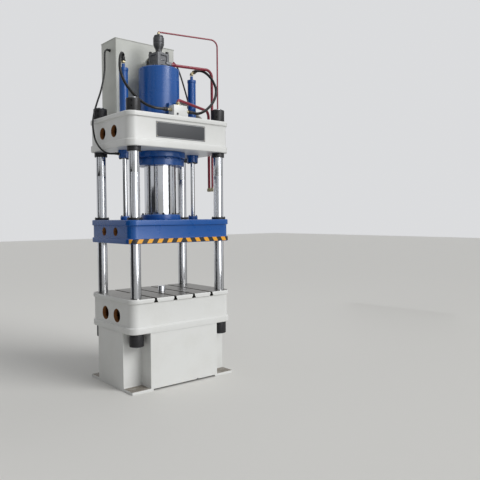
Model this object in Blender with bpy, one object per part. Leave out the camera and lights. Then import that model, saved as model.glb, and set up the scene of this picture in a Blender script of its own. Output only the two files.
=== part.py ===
"""Four-column hydraulic press of the 200 tonne class, with a plunger cylinder in the
crown, two side cylinders that lift the slide, a fill tank and an ejector in the table.

Every length is in metres. Heights are counted from the floor, X runs along the front
of the press and Y from front to back, with the middle of the four columns at X = Y = 0.
"""
import math

import bmesh
import bpy
from mathutils import Matrix, Vector

# Frame of the press
PLAN_X = 1.300                  # width of bed, slide and crown
PLAN_Y = 0.930                  # depth of bed, slide and crown
CORNER_RADIUS = 0.100           # rounded upright corners of bed, slide and crown
WEB_INSET = 0.015               # how far the webs stand back from the flanges
FLANGE_SLOPE = 0.005            # height of the bevel between flange and web
EDGE_CHAMFER = 0.006
COLUMN_SPACING_X = 1.080
COLUMN_SPACING_Y = 0.740
COLUMN_DIAMETER = 0.110
COLUMN_END_DIAMETER = 0.100     # threaded ends, through the bed and the crown
COLUMN_NECK = 0.010             # what each column end shows past its nut
TABLE_HEIGHT = 0.965            # working face above the floor
DAYLIGHT_AT_REST = 0.565        # from the table to the slide, as it stands
CROWN_HEIGHT_ABOVE_TABLE = 1.560

# Bed
BED_DEPTH = 0.360
BED_TOP_FLANGE = 0.048
BED_FOOT_FLANGE = 0.069
BED_TOP_PLATE = 0.086
BED_BOTTOM_PLATE = 0.060
BED_WALL = 0.040
BED_HOLE_DIAMETER = 0.145
T_SLOT_PITCH = 0.240
T_SLOT_COUNT = 4
T_SLOT_NECK = 0.028
T_SLOT_HEAD = 0.046
T_SLOT_NECK_DEPTH = 0.026
T_SLOT_DEPTH = 0.045

# Pedestal
FOOT_THICKNESS = 0.030
FOOT_WIDTH = 0.250
PANEL_WIDTH = 0.860             # front and rear panels
SIDE_WALL_LENGTH = 0.560        # left and right walls
PEDESTAL_WALL = 0.025
PANEL_GAP = 0.020               # under the panels, between the feet
ACCESS_WIDTH = 0.560
ACCESS_HEIGHT = 0.360
ACCESS_SILL = 0.110
DRAIN_NOTCH_RADIUS = 0.012
DRAIN_NOTCH_X = 0.140

# Crown
CROWN_DEPTH = 0.350
CROWN_TOP_FLANGE = 0.052
CROWN_FOOT_FLANGE = 0.072
CROWN_PLATE = 0.055
CROWN_WALL = 0.040
CROWN_HOLE_DIAMETER = 0.128
SIDE_HOLE_SPACING = 0.256       # between the two holes in each end wall
TUBE_WALL = 0.040               # wall of the welded tubes round the bores
SIDE_TUBE_WALL = 0.028

# Slide
SLIDE_DEPTH = 0.245
SLIDE_TOP_FLANGE = 0.061
SLIDE_FOOT_FLANGE = 0.055
SLIDE_PLATE = 0.050
SLIDE_WALL = 0.040
SLIDE_HOLE_DIAMETER = 0.092
BUSH_OUTER_DIAMETER = 0.140
BUSH_TUBE_WALL = 0.020
WIPER_DIAMETER = 0.156
WIPER_HEIGHT = 0.025
DIE_SHANK_DIAMETER = 0.060
DIE_SHANK_DEPTH = 0.040
HAZARD_THICKNESS = 0.0015
HAZARD_PAINT = 0.0008
HAZARD_STRIPES = 10              # on the flat of the flange
HAZARD_PITCH = 0.119
HAZARD_CORNER_SHARE = 2 / 3     # of each round corner that the band covers
HAZARD_LEAN = 0.35              # as part of the band's height
HAZARD_HALF_WIDTH = 0.20        # as part of the stripes' pitch

# Nuts
NUT_DIAMETER = 0.150
NUT_HEIGHT = 0.132
NUT_CHAMFER = 0.008
SPANNER_HOLE_DIAMETER = 0.018
SPANNER_HOLE_DEPTH = 0.014
SPANNER_HOLE_ROWS = (0.36, 0.76)     # as parts of the nut's height
SPANNER_HOLE_SIDES = 6
ADJUSTING_NUT_DIAMETER = 0.140
ADJUSTING_NUT_HEIGHT = 0.050

# Main cylinder and ram
RAM_DIAMETER = 0.360
RAM_BELOW_CYLINDER_TOP = 0.545  # free way above the ram, as it stands
BARREL_DIAMETER = 0.450
BARREL_BORE = 0.380
BARREL_ABOVE_CROWN = 0.606
BARREL_END = 0.075
BARREL_SHOULDER = 0.012
FILL_PORT_DIAMETER = 0.100
CYLINDER_FLANGE_DIAMETER = 0.573
CYLINDER_FLANGE_HEIGHT = 0.066
LOCK_NUT_WALL = 0.045
LOCK_NUT_HEIGHT = 0.045
GLAND_WALL = 0.069               # outside the packing
GLAND_HEIGHT = 0.084
GLAND_LIP = 0.020
PACKING_HEIGHT = 0.027
PACKING_OUTER_DIAMETER = 0.400
RAM_FLANGE_DIAMETER = 0.445
RAM_FLANGE_HEIGHT = 0.056

# Side cylinders
SIDE_CYLINDER_X = 0.445
SIDE_BARREL_DIAMETER = 0.094
SIDE_BORE = 0.070
SIDE_ABOVE_CROWN = 0.527
SIDE_END = 0.030
SIDE_NECK_DIAMETER = 0.034
SIDE_NECK_HEIGHT = 0.079
SIDE_ELBOW_DIAMETER = 0.032
SIDE_ELBOW_LENGTH = 0.035
SIDE_ELBOW_TURN = 60.0          # degrees from upright, on the right cylinder
SIDE_BASE_DIAMETER = 0.128
SIDE_BASE_HEIGHT = 0.040
SIDE_GLAND_DIAMETER = 0.142
SIDE_GLAND_HEIGHT = 0.083
SIDE_ROD_DIAMETER = 0.050
SIDE_PISTON_HEIGHT = 0.060
SIDE_ROD_BELOW_END = 0.500      # free way above the piston, as it stands
ROD_FOOT_DIAMETER = 0.110
ROD_FOOT_HEIGHT = 0.040

# Ejector
EJECTOR_ROD_DIAMETER = 0.080
EJECTOR_PROUD = 0.060           # above the table, as it stands
EJECTOR_BARREL_DIAMETER = 0.160
EJECTOR_BORE = 0.125
EJECTOR_LENGTH = 0.355
EJECTOR_END = 0.030
EJECTOR_FLANGE_DIAMETER = 0.240
EJECTOR_FLANGE_HEIGHT = 0.030
EJECTOR_HEAD = 0.045
EJECTOR_PISTON_HEIGHT = 0.050
EJECTOR_DOWN_WAY = 0.062        # free way below the piston, as it stands

# Prefill valve and fill tank
VALVE_WIDTH = 0.165
VALVE_HEIGHT = 0.122
VALVE_TURN = 8.0                # degrees from the press's own axes
VALVE_BASE_DIAMETER = 0.260
VALVE_BASE_HEIGHT = 0.022
VALVE_WINDOW_WIDTH = 0.090
VALVE_WINDOW_HEIGHT = 0.070
VALVE_WINDOW_DEPTH = 0.016
VALVE_UNION_REACH = 0.120       # where the prefill pipe meets the valve
ACTUATOR_DIAMETER = 0.121
ACTUATOR_STEM_DIAMETER = 0.072
ACTUATOR_CAP_DIAMETER = 0.098
ACTUATOR_FITTING_DIAMETER = 0.032
ACTUATOR_STEM_HEIGHT = 0.049    # heights above the valve block
ACTUATOR_FLARE_HEIGHT = 0.079
ACTUATOR_FLARE_DIAMETER = 0.101
ACTUATOR_CUP_HEIGHT = 0.105
ACTUATOR_RIM_HEIGHT = 0.182
ACTUATOR_CAP_HEIGHT = 0.206
ACTUATOR_HEIGHT = 0.221
FILL_PIPE_DIAMETER = 0.104
FILL_PIPE_FLANGE_DIAMETER = 0.150
FILL_PIPE_FLANGE_THICKNESS = 0.018
FILL_PIPE_REACH = 0.150         # where the valve's flange meets the tank's
TANK_WIDTH = 0.774
TANK_DEPTH = 0.350
TANK_FRONT_Y = 0.280
TANK_HEIGHT = 0.875
TANK_WALL = 0.006
TANK_EDGE_RADIUS = 0.012
TANK_FOOT_HEIGHT = 0.060
TANK_FOOT_WIDTH = 0.060
TANK_FOOT_X = 0.270
TANK_FOOT_FRONT_INSET = 0.010
TANK_FOOT_REAR_INSET = 0.030
TANK_DRAIN_Y = 0.590            # hose ends on the tank's sides, heights above its floor
TANK_DRAIN_HEIGHT = 0.725
TANK_VENT_Y = 0.400
TANK_VENT_HEIGHT = 0.625
TANK_SUCTION_Y = 0.470
TANK_SUCTION_HEIGHT = 0.365

# Manifold block
MANIFOLD_LEFT_X = -0.055
MANIFOLD_WIDTH = 0.170
MANIFOLD_DEPTH = 0.105
MANIFOLD_HEIGHT = 0.131
MANIFOLD_NUT_GAP = 0.005         # between the block and the cylinder's lock nut
PORT_BOSS_WIDTH = 0.100
PORT_BOSS_BOTTOM = 0.062        # above the crown
PORT_BOSS_TOP = 0.165
HOSE_NIPPLE_DIAMETER = 0.030
HOSE_NIPPLE_LENGTH = 0.055
HOSE_NIPPLE_HEIGHT = 0.080      # above the crown
PIPE_NIPPLE_X = 0.028
PIPE_NIPPLE_HEIGHT = 0.020

# Pipes, hoses and their bracket
PRESSURE_PIPE_DIAMETER = 0.030
PILOT_PIPE_DIAMETER = 0.018
RETURN_HOSE_DIAMETER = 0.022
DRAIN_HOSE_DIAMETER = 0.015
SUCTION_HOSE_DIAMETER = 0.048
HOSE_STRAIGHT = 0.045           # what each hose runs straight from its fitting
PIPE_RUN_X = 0.700              # upright pipes beside the crown
PRESSURE_PIPE_Y = 0.015
PREFILL_PIPE_Y = -0.055
PILOT_PIPE_Y = -0.165
SUCTION_HOSE_Y = 0.100
PRESSURE_PIPE_RISE = 0.046        # above its nipple on the manifold block
PREFILL_PIPE_RISE = 0.044         # above the valve's base
PILOT_PIPE_RISE = 0.026           # above the actuator
PIPE_BEND = 0.080
PIPE_END_DROP = 0.395             # below the crown
UNION_DIAMETER = 0.052
UNION_LENGTH = 0.045
UNION_SIDES = 6
BRACKET_HEIGHT = 0.050
BRACKET_BELOW_CROWN_TOP = 0.055
BRACKET_NIPPLE_HEIGHT = 0.030
NIPPLE_WALL = 0.004
BRACKET_THICKNESS = 0.080
BRACKET_REAR_Y = 0.140
BRACKET_FRONT_Y = -0.200
DRAIN_BOSS_X = 0.505
DRAIN_BOSS_Y = 0.105
DRAIN_BOSS_HEIGHT = 0.030
DRAIN_BOSS_DIAMETER = 0.030

# Fits
SEAT = 0.0003                   # between pieces that touch
RUNNING_FIT = 0.0004            # round what slides
OVERSHOOT = 0.010               # how far a cutter runs past what it cuts

# Roundness
LARGE_SIDES = 32
COLUMN_SIDES = 14
SMALL_SIDES = 12
FITTING_SIDES = 8
CORNER_STEPS = 3
HOSE_POINT_SPACING = 2.5        # in diameters of the hose
TUBE_SIDES = 8
WIDE_TUBE_SIDES = 16

# Heights worked out from the sizes above
BED_BOTTOM = TABLE_HEIGHT - BED_DEPTH
SLIDE_BOTTOM = TABLE_HEIGHT + DAYLIGHT_AT_REST
SLIDE_TOP = SLIDE_BOTTOM + SLIDE_DEPTH
CROWN_BOTTOM = TABLE_HEIGHT + CROWN_HEIGHT_ABOVE_TABLE
CROWN_TOP = CROWN_BOTTOM + CROWN_DEPTH
CYLINDER_TOP = CROWN_TOP + BARREL_ABOVE_CROWN
CYLINDER_BOTTOM = CROWN_BOTTOM - CYLINDER_FLANGE_HEIGHT
GLAND_BOTTOM = CYLINDER_BOTTOM - GLAND_HEIGHT
SIDE_TOP = CROWN_TOP + SIDE_ABOVE_CROWN
VALVE_BASE_TOP = CYLINDER_TOP + VALVE_BASE_HEIGHT
VALVE_TOP = VALVE_BASE_TOP + VALVE_HEIGHT
TANK_BOTTOM = CROWN_TOP + TANK_FOOT_HEIGHT
TANK_TOP = TANK_BOTTOM + TANK_HEIGHT
FILL_PIPE_HEIGHT = VALVE_BASE_TOP + VALVE_HEIGHT / 2
LOCK_NUT_DIAMETER = BARREL_DIAMETER + 2 * LOCK_NUT_WALL
GLAND_DIAMETER = PACKING_OUTER_DIAMETER + 2 * GLAND_WALL
MANIFOLD_REAR_Y = -LOCK_NUT_DIAMETER / 2 - MANIFOLD_NUT_GAP
MANIFOLD_FRONT_Y = MANIFOLD_REAR_Y - MANIFOLD_DEPTH
NIPPLE_HEIGHT = CROWN_TOP + HOSE_NIPPLE_HEIGHT
BRACKET_OUTER_X = PLAN_X / 2 + BRACKET_THICKNESS
BRACKET_TOP = CROWN_TOP - BRACKET_BELOW_CROWN_TOP
PRESSURE_PIPE_BOTTOM = CROWN_TOP + MANIFOLD_HEIGHT + PIPE_NIPPLE_HEIGHT + SEAT
PRESSURE_PIPE_HEIGHT = PRESSURE_PIPE_BOTTOM + PRESSURE_PIPE_RISE
PREFILL_PIPE_HEIGHT = VALVE_BASE_TOP + PREFILL_PIPE_RISE
PILOT_PIPE_BOTTOM = VALVE_TOP + SEAT + ACTUATOR_HEIGHT + SEAT
PILOT_PIPE_HEIGHT = PILOT_PIPE_BOTTOM + PILOT_PIPE_RISE
PIPE_END_HEIGHT = CROWN_BOTTOM - PIPE_END_DROP

# The origin is the middle of the whole press's plan, on the floor
FRAME_SHIFT_X = -(BRACKET_OUTER_X - PLAN_X / 2) / 2
FRAME_SHIFT_Y = -(TANK_FRONT_Y + TANK_DEPTH - PLAN_Y / 2) / 2

CORNERS = {
    "front_left": (-1, -1), "front_right": (1, -1),
    "rear_left": (-1, 1), "rear_right": (1, 1),
}


def linear(hex_colour):
    """Turn an sRGB hex colour into the linear values a shader takes."""
    values = [int(hex_colour[i:i + 2], 16) / 255 for i in (1, 3, 5)]
    return [v / 12.92 if v <= 0.04045 else ((v + 0.055) / 1.055) ** 2.4 for v in values] + [1]


def finish(name, hex_colour, roughness, metallic=0.0):
    material = bpy.data.materials.new(name)
    material.use_nodes = True
    shader = material.node_tree.nodes["Principled BSDF"]
    shader.inputs["Base Color"].default_value = linear(hex_colour)
    shader.inputs["Roughness"].default_value = roughness
    shader.inputs["Metallic"].default_value = metallic
    material.diffuse_color = linear(hex_colour)
    return material


def empty_scene():
    for old in list(bpy.data.objects):
        bpy.data.objects.remove(old, do_unlink=True)


def guide(name, location, parent=None):
    """An empty that carries pieces."""
    carrier = bpy.data.objects.new(name, None)
    bpy.context.collection.objects.link(carrier)
    carrier.location = location
    carrier.parent = parent
    return carrier


def from_bmesh(name, shape):
    """Make an object of a bmesh, with its faces pointing outwards."""
    bmesh.ops.recalc_face_normals(shape, faces=shape.faces)
    mesh = bpy.data.meshes.new(name)
    shape.to_mesh(mesh)
    shape.free()
    made = bpy.data.objects.new(name, mesh)
    bpy.context.collection.objects.link(made)
    return made


def skin(shape, rings, loop=False):
    """Join rings of vertices into a solid, closed by caps or into itself."""
    pairs = list(zip(rings, rings[1:]))
    if loop:
        pairs.append((rings[-1], rings[0]))
    for low, high in pairs:
        for i in range(len(low)):
            j = (i + 1) % len(low)
            shape.faces.new((low[i], low[j], high[j], high[i]))
    if not loop:
        shape.faces.new(rings[0])
        shape.faces.new(rings[-1])


def turned(name, profile, sides, loop=False):
    """A turned solid: the profile is a list of radius and height."""
    shape = bmesh.new()
    rings = []
    for radius, height in profile:
        angles = [2 * math.pi * i / sides for i in range(sides)]
        rings.append([shape.verts.new((radius * math.cos(a), radius * math.sin(a), height))
                      for a in angles])
    skin(shape, rings, loop)
    return from_bmesh(name, shape)


def rod(name, radius, bottom, top, sides=SMALL_SIDES):
    return turned(name, [(radius, bottom), (radius, top)], sides)


def box(name, low, high):
    shape = bmesh.new()
    bmesh.ops.create_cube(shape, size=1.0)
    size = Vector(high) - Vector(low)
    middle = (Vector(high) + Vector(low)) / 2
    bmesh.ops.transform(shape, verts=shape.verts,
                        matrix=Matrix.Translation(middle) @ Matrix.Diagonal((*size, 1)))
    return from_bmesh(name, shape)


def prism(name, outline, bottom, top):
    """An outline in plan, drawn up between two heights."""
    shape = bmesh.new()
    rings = [[shape.verts.new((x, y, z)) for x, y in outline] for z in (bottom, top)]
    skin(shape, rings)
    return from_bmesh(name, shape)


def rounded_plan(half_x, half_y, radius):
    """A rectangle with round corners, as points in plan."""
    points = []
    for quarter, (sx, sy) in enumerate(((1, 1), (-1, 1), (-1, -1), (1, -1))):
        for step in range(CORNER_STEPS + 1):
            angle = math.pi / 2 * (quarter + step / CORNER_STEPS)
            points.append((sx * (half_x - radius) + radius * math.cos(angle),
                           sy * (half_y - radius) + radius * math.sin(angle)))
    return points


def flanged_body(name, bottom, depth, foot_flange, top_flange):
    """The shared outer form of bed, slide and crown: webs between two flanges."""
    top = bottom + depth
    profile = [
        (EDGE_CHAMFER, bottom), (0, bottom + EDGE_CHAMFER),
        (0, bottom + foot_flange - FLANGE_SLOPE), (WEB_INSET, bottom + foot_flange),
        (WEB_INSET, top - top_flange), (0, top - top_flange + FLANGE_SLOPE),
        (0, top - EDGE_CHAMFER), (EDGE_CHAMFER, top),
    ]
    shape = bmesh.new()
    rings = []
    for inset, height in profile:
        plan = rounded_plan(PLAN_X / 2 - inset, PLAN_Y / 2 - inset, CORNER_RADIUS - inset)
        rings.append([shape.verts.new((x, y, height)) for x, y in plan])
    skin(shape, rings)
    return from_bmesh(name, shape)


def combine(target, tool, operation):
    """Cut or join a tool into a target for good."""
    change = target.modifiers.new(operation, "BOOLEAN")
    change.operation = operation
    change.solver = "EXACT"
    change.object = tool
    bpy.context.view_layer.update()
    graph = bpy.context.evaluated_depsgraph_get()
    mesh = bpy.data.meshes.new_from_object(target.evaluated_get(graph))
    target.modifiers.clear()
    target.data = mesh
    bpy.data.objects.remove(tool, do_unlink=True)
    return target


def cut(target, *tools):
    for tool in tools:
        combine(target, tool, "DIFFERENCE")
    return target


def join(target, *tools):
    for tool in tools:
        combine(target, tool, "UNION")
    return target


def place(piece, matrix):
    piece.data.transform(matrix)
    return piece


def moved(piece, x, y, z=0.0):
    return place(piece, Matrix.Translation((x, y, z)))


def lying(piece, axis):
    """Turn an upright solid so that its top points along +X or +Y."""
    if axis == "X":
        return place(piece, Matrix.Rotation(math.pi / 2, 4, "Y"))
    return place(piece, Matrix.Rotation(-math.pi / 2, 4, "X"))


def dress(piece, material, carrier):
    """Give a finished piece its material, its smooth faces and its carrier."""
    piece.data.materials.clear()
    piece.data.materials.append(material)
    piece.data.shade_smooth()
    piece.data.set_sharp_from_angle(angle=math.radians(30))
    piece.parent = carrier
    piece.location -= carrier_height(carrier)
    return piece


def carrier_height(carrier):
    """How far a carrier stands above the floor's frame."""
    return Vector((0, 0, carrier.location.z if carrier.parent else 0))


def column_places():
    for name, (sx, sy) in CORNERS.items():
        yield name, sx * COLUMN_SPACING_X / 2, sy * COLUMN_SPACING_Y / 2


def end_wall_holes(body, diameter, height, wall):
    """Two round holes through each end wall."""
    depth = WEB_INSET + wall + OVERSHOOT
    for y in (-SIDE_HOLE_SPACING / 2, SIDE_HOLE_SPACING / 2):
        for side in (-1, 1):
            reach = sorted((side * (PLAN_X / 2 + OVERSHOOT), side * (PLAN_X / 2 - depth)))
            hole = lying(rod("hole", diameter / 2, reach[0], reach[1]), "X")
            cut(body, moved(hole, 0, y, height))
    return body


def hollow(body, bottom, top, wall, tubes):
    """Take out the inside of a welded box, leaving tubes round its bores."""
    inset = WEB_INSET + wall
    plan = rounded_plan(PLAN_X / 2 - inset, PLAN_Y / 2 - inset, CORNER_RADIUS - inset)
    inside = prism("inside", plan, bottom, top)
    for x, y, diameter, sides in tubes:
        tube = rod("tube", diameter / 2, bottom - OVERSHOOT, top + OVERSHOOT, sides)
        cut(inside, moved(tube, x, y))
    return cut(body, inside)


def bore(body, x, y, diameter, bottom, top, sides):
    return cut(body, moved(rod("bore", diameter / 2, bottom, top, sides), x, y))


def t_slot(name, x):
    """The solid of one T-slot, along the whole depth of the table."""
    head, neck = T_SLOT_HEAD / 2, T_SLOT_NECK / 2
    outline = [(-head, -T_SLOT_DEPTH), (head, -T_SLOT_DEPTH), (head, -T_SLOT_NECK_DEPTH),
               (neck, -T_SLOT_NECK_DEPTH), (neck, OVERSHOOT), (-neck, OVERSHOOT),
               (-neck, -T_SLOT_NECK_DEPTH), (-head, -T_SLOT_NECK_DEPTH)]
    reach = PLAN_Y / 2 + OVERSHOOT
    slot = prism(name, [(u, -v) for u, v in outline], -reach, reach)
    return moved(lying(slot, "Y"), x, 0, TABLE_HEIGHT)


def table_beam(material, carrier):
    body = flanged_body("table_beam", BED_BOTTOM, BED_DEPTH, BED_FOOT_FLANGE, BED_TOP_FLANGE)
    tubes = [(x, y, COLUMN_DIAMETER + 2 * TUBE_WALL, TUBE_SIDES) for _, x, y in column_places()]
    tubes.append((0, 0, EJECTOR_ROD_DIAMETER + 2 * TUBE_WALL, TUBE_SIDES))
    floor, roof = BED_BOTTOM + BED_BOTTOM_PLATE, TABLE_HEIGHT - BED_TOP_PLATE
    hollow(body, floor, roof, BED_WALL, tubes)
    end_wall_holes(body, BED_HOLE_DIAMETER, (floor + roof) / 2, BED_WALL)
    reach = (BED_BOTTOM - OVERSHOOT, TABLE_HEIGHT + OVERSHOOT)
    for _, x, y in column_places():
        bore(body, x, y, COLUMN_END_DIAMETER + 2 * SEAT, *reach, COLUMN_SIDES)
    bore(body, 0, 0, EJECTOR_ROD_DIAMETER + 2 * RUNNING_FIT, *reach, COLUMN_SIDES)
    for i in range(T_SLOT_COUNT):
        cut(body, t_slot("slot", (i - (T_SLOT_COUNT - 1) / 2) * T_SLOT_PITCH))
    return dress(body, material, carrier)


def cross_plan(inset):
    """The pedestal's plan: a rectangle with a niche at each corner."""
    outer_x, outer_y = PLAN_X / 2 - inset, PLAN_Y / 2 - inset
    inner_x, inner_y = PANEL_WIDTH / 2 - inset, SIDE_WALL_LENGTH / 2 - inset
    quarter = [(outer_x, inner_y), (inner_x, inner_y), (inner_x, outer_y)]
    points = []
    for sx, sy in ((1, 1), (-1, 1), (-1, -1), (1, -1)):
        corner = [(sx * x, sy * y) for x, y in quarter]
        points += corner if sx * sy > 0 else corner[::-1]
    return points


def pedestal(material, carrier):
    top = BED_BOTTOM - SEAT
    body = prism("pedestal", cross_plan(0), PANEL_GAP, top)
    cut(body, prism("inside", cross_plan(PEDESTAL_WALL), -OVERSHOOT, top + OVERSHOOT))
    for side in (-1, 1):
        edges = sorted((side * PLAN_X / 2, side * (PLAN_X / 2 - FOOT_WIDTH)))
        foot = box("foot", (edges[0], -PLAN_Y / 2, 0), (edges[1], PLAN_Y / 2, FOOT_THICKNESS))
        join(body, foot)
    sill = ACCESS_SILL
    door = box("door", (-ACCESS_WIDTH / 2, PLAN_Y / 2 - 2 * PEDESTAL_WALL, sill),
               (ACCESS_WIDTH / 2, PLAN_Y / 2 + OVERSHOOT, sill + ACCESS_HEIGHT))
    cut(body, door)
    notch = lying(rod("notch", DRAIN_NOTCH_RADIUS, -PLAN_Y / 2 - OVERSHOOT,
                      -PLAN_Y / 2 + 2 * PEDESTAL_WALL, FITTING_SIDES), "Y")
    cut(body, moved(notch, DRAIN_NOTCH_X, 0, PANEL_GAP))
    return dress(body, material, carrier)


def crown(material, carrier):
    body = flanged_body("crown", CROWN_BOTTOM, CROWN_DEPTH, CROWN_FOOT_FLANGE, CROWN_TOP_FLANGE)
    tubes = [(x, y, COLUMN_DIAMETER + 2 * TUBE_WALL, TUBE_SIDES) for _, x, y in column_places()]
    tubes.append((0, 0, BARREL_DIAMETER + 2 * TUBE_WALL, WIDE_TUBE_SIDES))
    for side in (-1, 1):
        tubes.append((side * SIDE_CYLINDER_X, 0, SIDE_BARREL_DIAMETER + 2 * SIDE_TUBE_WALL, TUBE_SIDES))
    floor, roof = CROWN_BOTTOM + CROWN_PLATE, CROWN_TOP - CROWN_PLATE
    hollow(body, floor, roof, CROWN_WALL, tubes)
    end_wall_holes(body, CROWN_HOLE_DIAMETER, (floor + roof) / 2, CROWN_WALL)
    reach = (CROWN_BOTTOM - OVERSHOOT, CROWN_TOP + OVERSHOOT)
    for _, x, y in column_places():
        bore(body, x, y, COLUMN_END_DIAMETER + 2 * SEAT, *reach, COLUMN_SIDES)
    bore(body, 0, 0, BARREL_DIAMETER + 2 * SEAT, *reach, LARGE_SIDES)
    for side in (-1, 1):
        bore(body, side * SIDE_CYLINDER_X, 0, SIDE_BARREL_DIAMETER + 2 * SEAT, *reach, SMALL_SIDES)
    drain = rod("boss", DRAIN_BOSS_DIAMETER / 2, CROWN_TOP - OVERSHOOT,
                CROWN_TOP + DRAIN_BOSS_HEIGHT, FITTING_SIDES)
    join(body, moved(drain, DRAIN_BOSS_X, DRAIN_BOSS_Y))
    return dress(body, material, carrier)


def slide(material, carrier):
    body = flanged_body("slide", SLIDE_BOTTOM, SLIDE_DEPTH, SLIDE_FOOT_FLANGE, SLIDE_TOP_FLANGE)
    tubes = [(x, y, BUSH_OUTER_DIAMETER + 2 * BUSH_TUBE_WALL, TUBE_SIDES) for _, x, y in column_places()]
    tubes.append((0, 0, RAM_DIAMETER, WIDE_TUBE_SIDES))
    floor, roof = SLIDE_BOTTOM + SLIDE_PLATE, SLIDE_TOP - SLIDE_PLATE
    hollow(body, floor, roof, SLIDE_WALL, tubes)
    end_wall_holes(body, SLIDE_HOLE_DIAMETER, (floor + roof) / 2, SLIDE_WALL)
    for _, x, y in column_places():
        bore(body, x, y, BUSH_OUTER_DIAMETER + 2 * SEAT, SLIDE_BOTTOM - OVERSHOOT,
             SLIDE_TOP + OVERSHOOT, COLUMN_SIDES)
    bore(body, 0, 0, DIE_SHANK_DIAMETER, SLIDE_BOTTOM - OVERSHOOT,
         SLIDE_BOTTOM + DIE_SHANK_DEPTH, SMALL_SIDES)
    return dress(body, material, carrier)


def columns(material, carrier):
    """Each column has a shoulder on the table and another under the crown."""
    full, end = COLUMN_DIAMETER / 2, COLUMN_END_DIAMETER / 2
    bottom = BED_BOTTOM - SEAT - NUT_HEIGHT - COLUMN_NECK
    top = CROWN_TOP + SEAT + NUT_HEIGHT + COLUMN_NECK
    chamfer = EDGE_CHAMFER / 2
    profile = [(end - chamfer, bottom), (end, bottom + chamfer), (end, TABLE_HEIGHT + SEAT),
               (full, TABLE_HEIGHT + SEAT), (full, CROWN_BOTTOM - SEAT), (end, CROWN_BOTTOM - SEAT),
               (end, top - chamfer), (end - chamfer, top)]
    for name, x, y in column_places():
        piece = turned("column_" + name, profile, COLUMN_SIDES)
        piece.location = (x, y, 0)
        dress(piece, material, carrier)


def ring_profile(inner, outer, bottom, top, low_chamfer, high_chamfer):
    """A turned ring, chamfered on one or both of its outer edges."""
    low, high = [(outer, bottom)], [(outer, top)]
    if low_chamfer:
        low = [(outer - low_chamfer, bottom), (outer, bottom + low_chamfer)]
    if high_chamfer:
        high = [(outer, top - high_chamfer), (outer - high_chamfer, top)]
    return [(inner, bottom)] + low + high + [(inner, top)]


def plain_ring(name, inner, outer, bottom, top, sides):
    profile = [(inner, bottom), (outer, bottom), (outer, top), (inner, top)]
    return turned(name, profile, sides, loop=True)


def column_nuts(material, carrier):
    """Bottom nuts, top nuts with spanner holes, and the adjusting nuts under the crown."""
    thread = COLUMN_END_DIAMETER / 2 + SEAT
    for name, x, y in column_places():
        bottom = BED_BOTTOM - SEAT - NUT_HEIGHT
        low = turned("bottom_nut_" + name, ring_profile(
            thread, NUT_DIAMETER / 2, bottom, bottom + NUT_HEIGHT, NUT_CHAMFER, 0),
            COLUMN_SIDES, loop=True)
        low.location = (x, y, 0)
        dress(low, material, carrier)

        top = CROWN_TOP + SEAT
        high = turned("top_nut_" + name, ring_profile(
            thread, NUT_DIAMETER / 2, top, top + NUT_HEIGHT, 0, NUT_CHAMFER),
            COLUMN_SIDES, loop=True)
        for row in SPANNER_HOLE_ROWS:
            for turn in range(4):
                hole = lying(rod("hole", SPANNER_HOLE_DIAMETER / 2, NUT_DIAMETER / 2 - SPANNER_HOLE_DEPTH,
                                 NUT_DIAMETER / 2 + OVERSHOOT, SPANNER_HOLE_SIDES), "X")
                place(hole, Matrix.Rotation(math.radians(45 + 90 * turn), 4, "Z"))
                cut(high, moved(hole, 0, 0, top + NUT_HEIGHT * row))
        high.location = (x, y, 0)
        dress(high, material, carrier)

        under = CROWN_BOTTOM - SEAT
        adjuster = turned("adjusting_nut_" + name, ring_profile(
            COLUMN_DIAMETER / 2 + SEAT, ADJUSTING_NUT_DIAMETER / 2,
            under - ADJUSTING_NUT_HEIGHT, under, EDGE_CHAMFER / 2, 0), COLUMN_SIDES, loop=True)
        adjuster.location = (x, y, 0)
        dress(adjuster, material, carrier)


def main_cylinder(material, carrier):
    outer, inner, port = BARREL_DIAMETER / 2, BARREL_BORE / 2, FILL_PORT_DIAMETER / 2
    flange = CYLINDER_FLANGE_DIAMETER / 2
    seat = CROWN_BOTTOM - SEAT
    top, roof = CYLINDER_TOP, CYLINDER_TOP - BARREL_END
    soft = BARREL_SHOULDER
    profile = [(inner, CYLINDER_BOTTOM), (flange - EDGE_CHAMFER, CYLINDER_BOTTOM),
               (flange, CYLINDER_BOTTOM + EDGE_CHAMFER), (flange, seat - EDGE_CHAMFER),
               (flange - EDGE_CHAMFER, seat), (outer, seat),
               (outer, top - soft), (outer - soft * 0.3, top - soft * 0.3), (outer - soft, top),
               (port, top), (port, roof), (inner - soft, roof), (inner, roof - soft)]
    body = turned("main_cylinder", profile, LARGE_SIDES, loop=True)
    boss = box("boss", (-PORT_BOSS_WIDTH / 2, MANIFOLD_REAR_Y + SEAT, CROWN_TOP + PORT_BOSS_BOTTOM),
               (PORT_BOSS_WIDTH / 2, -(outer + inner) / 2, CROWN_TOP + PORT_BOSS_TOP))
    return dress(join(body, boss), material, carrier)


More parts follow.
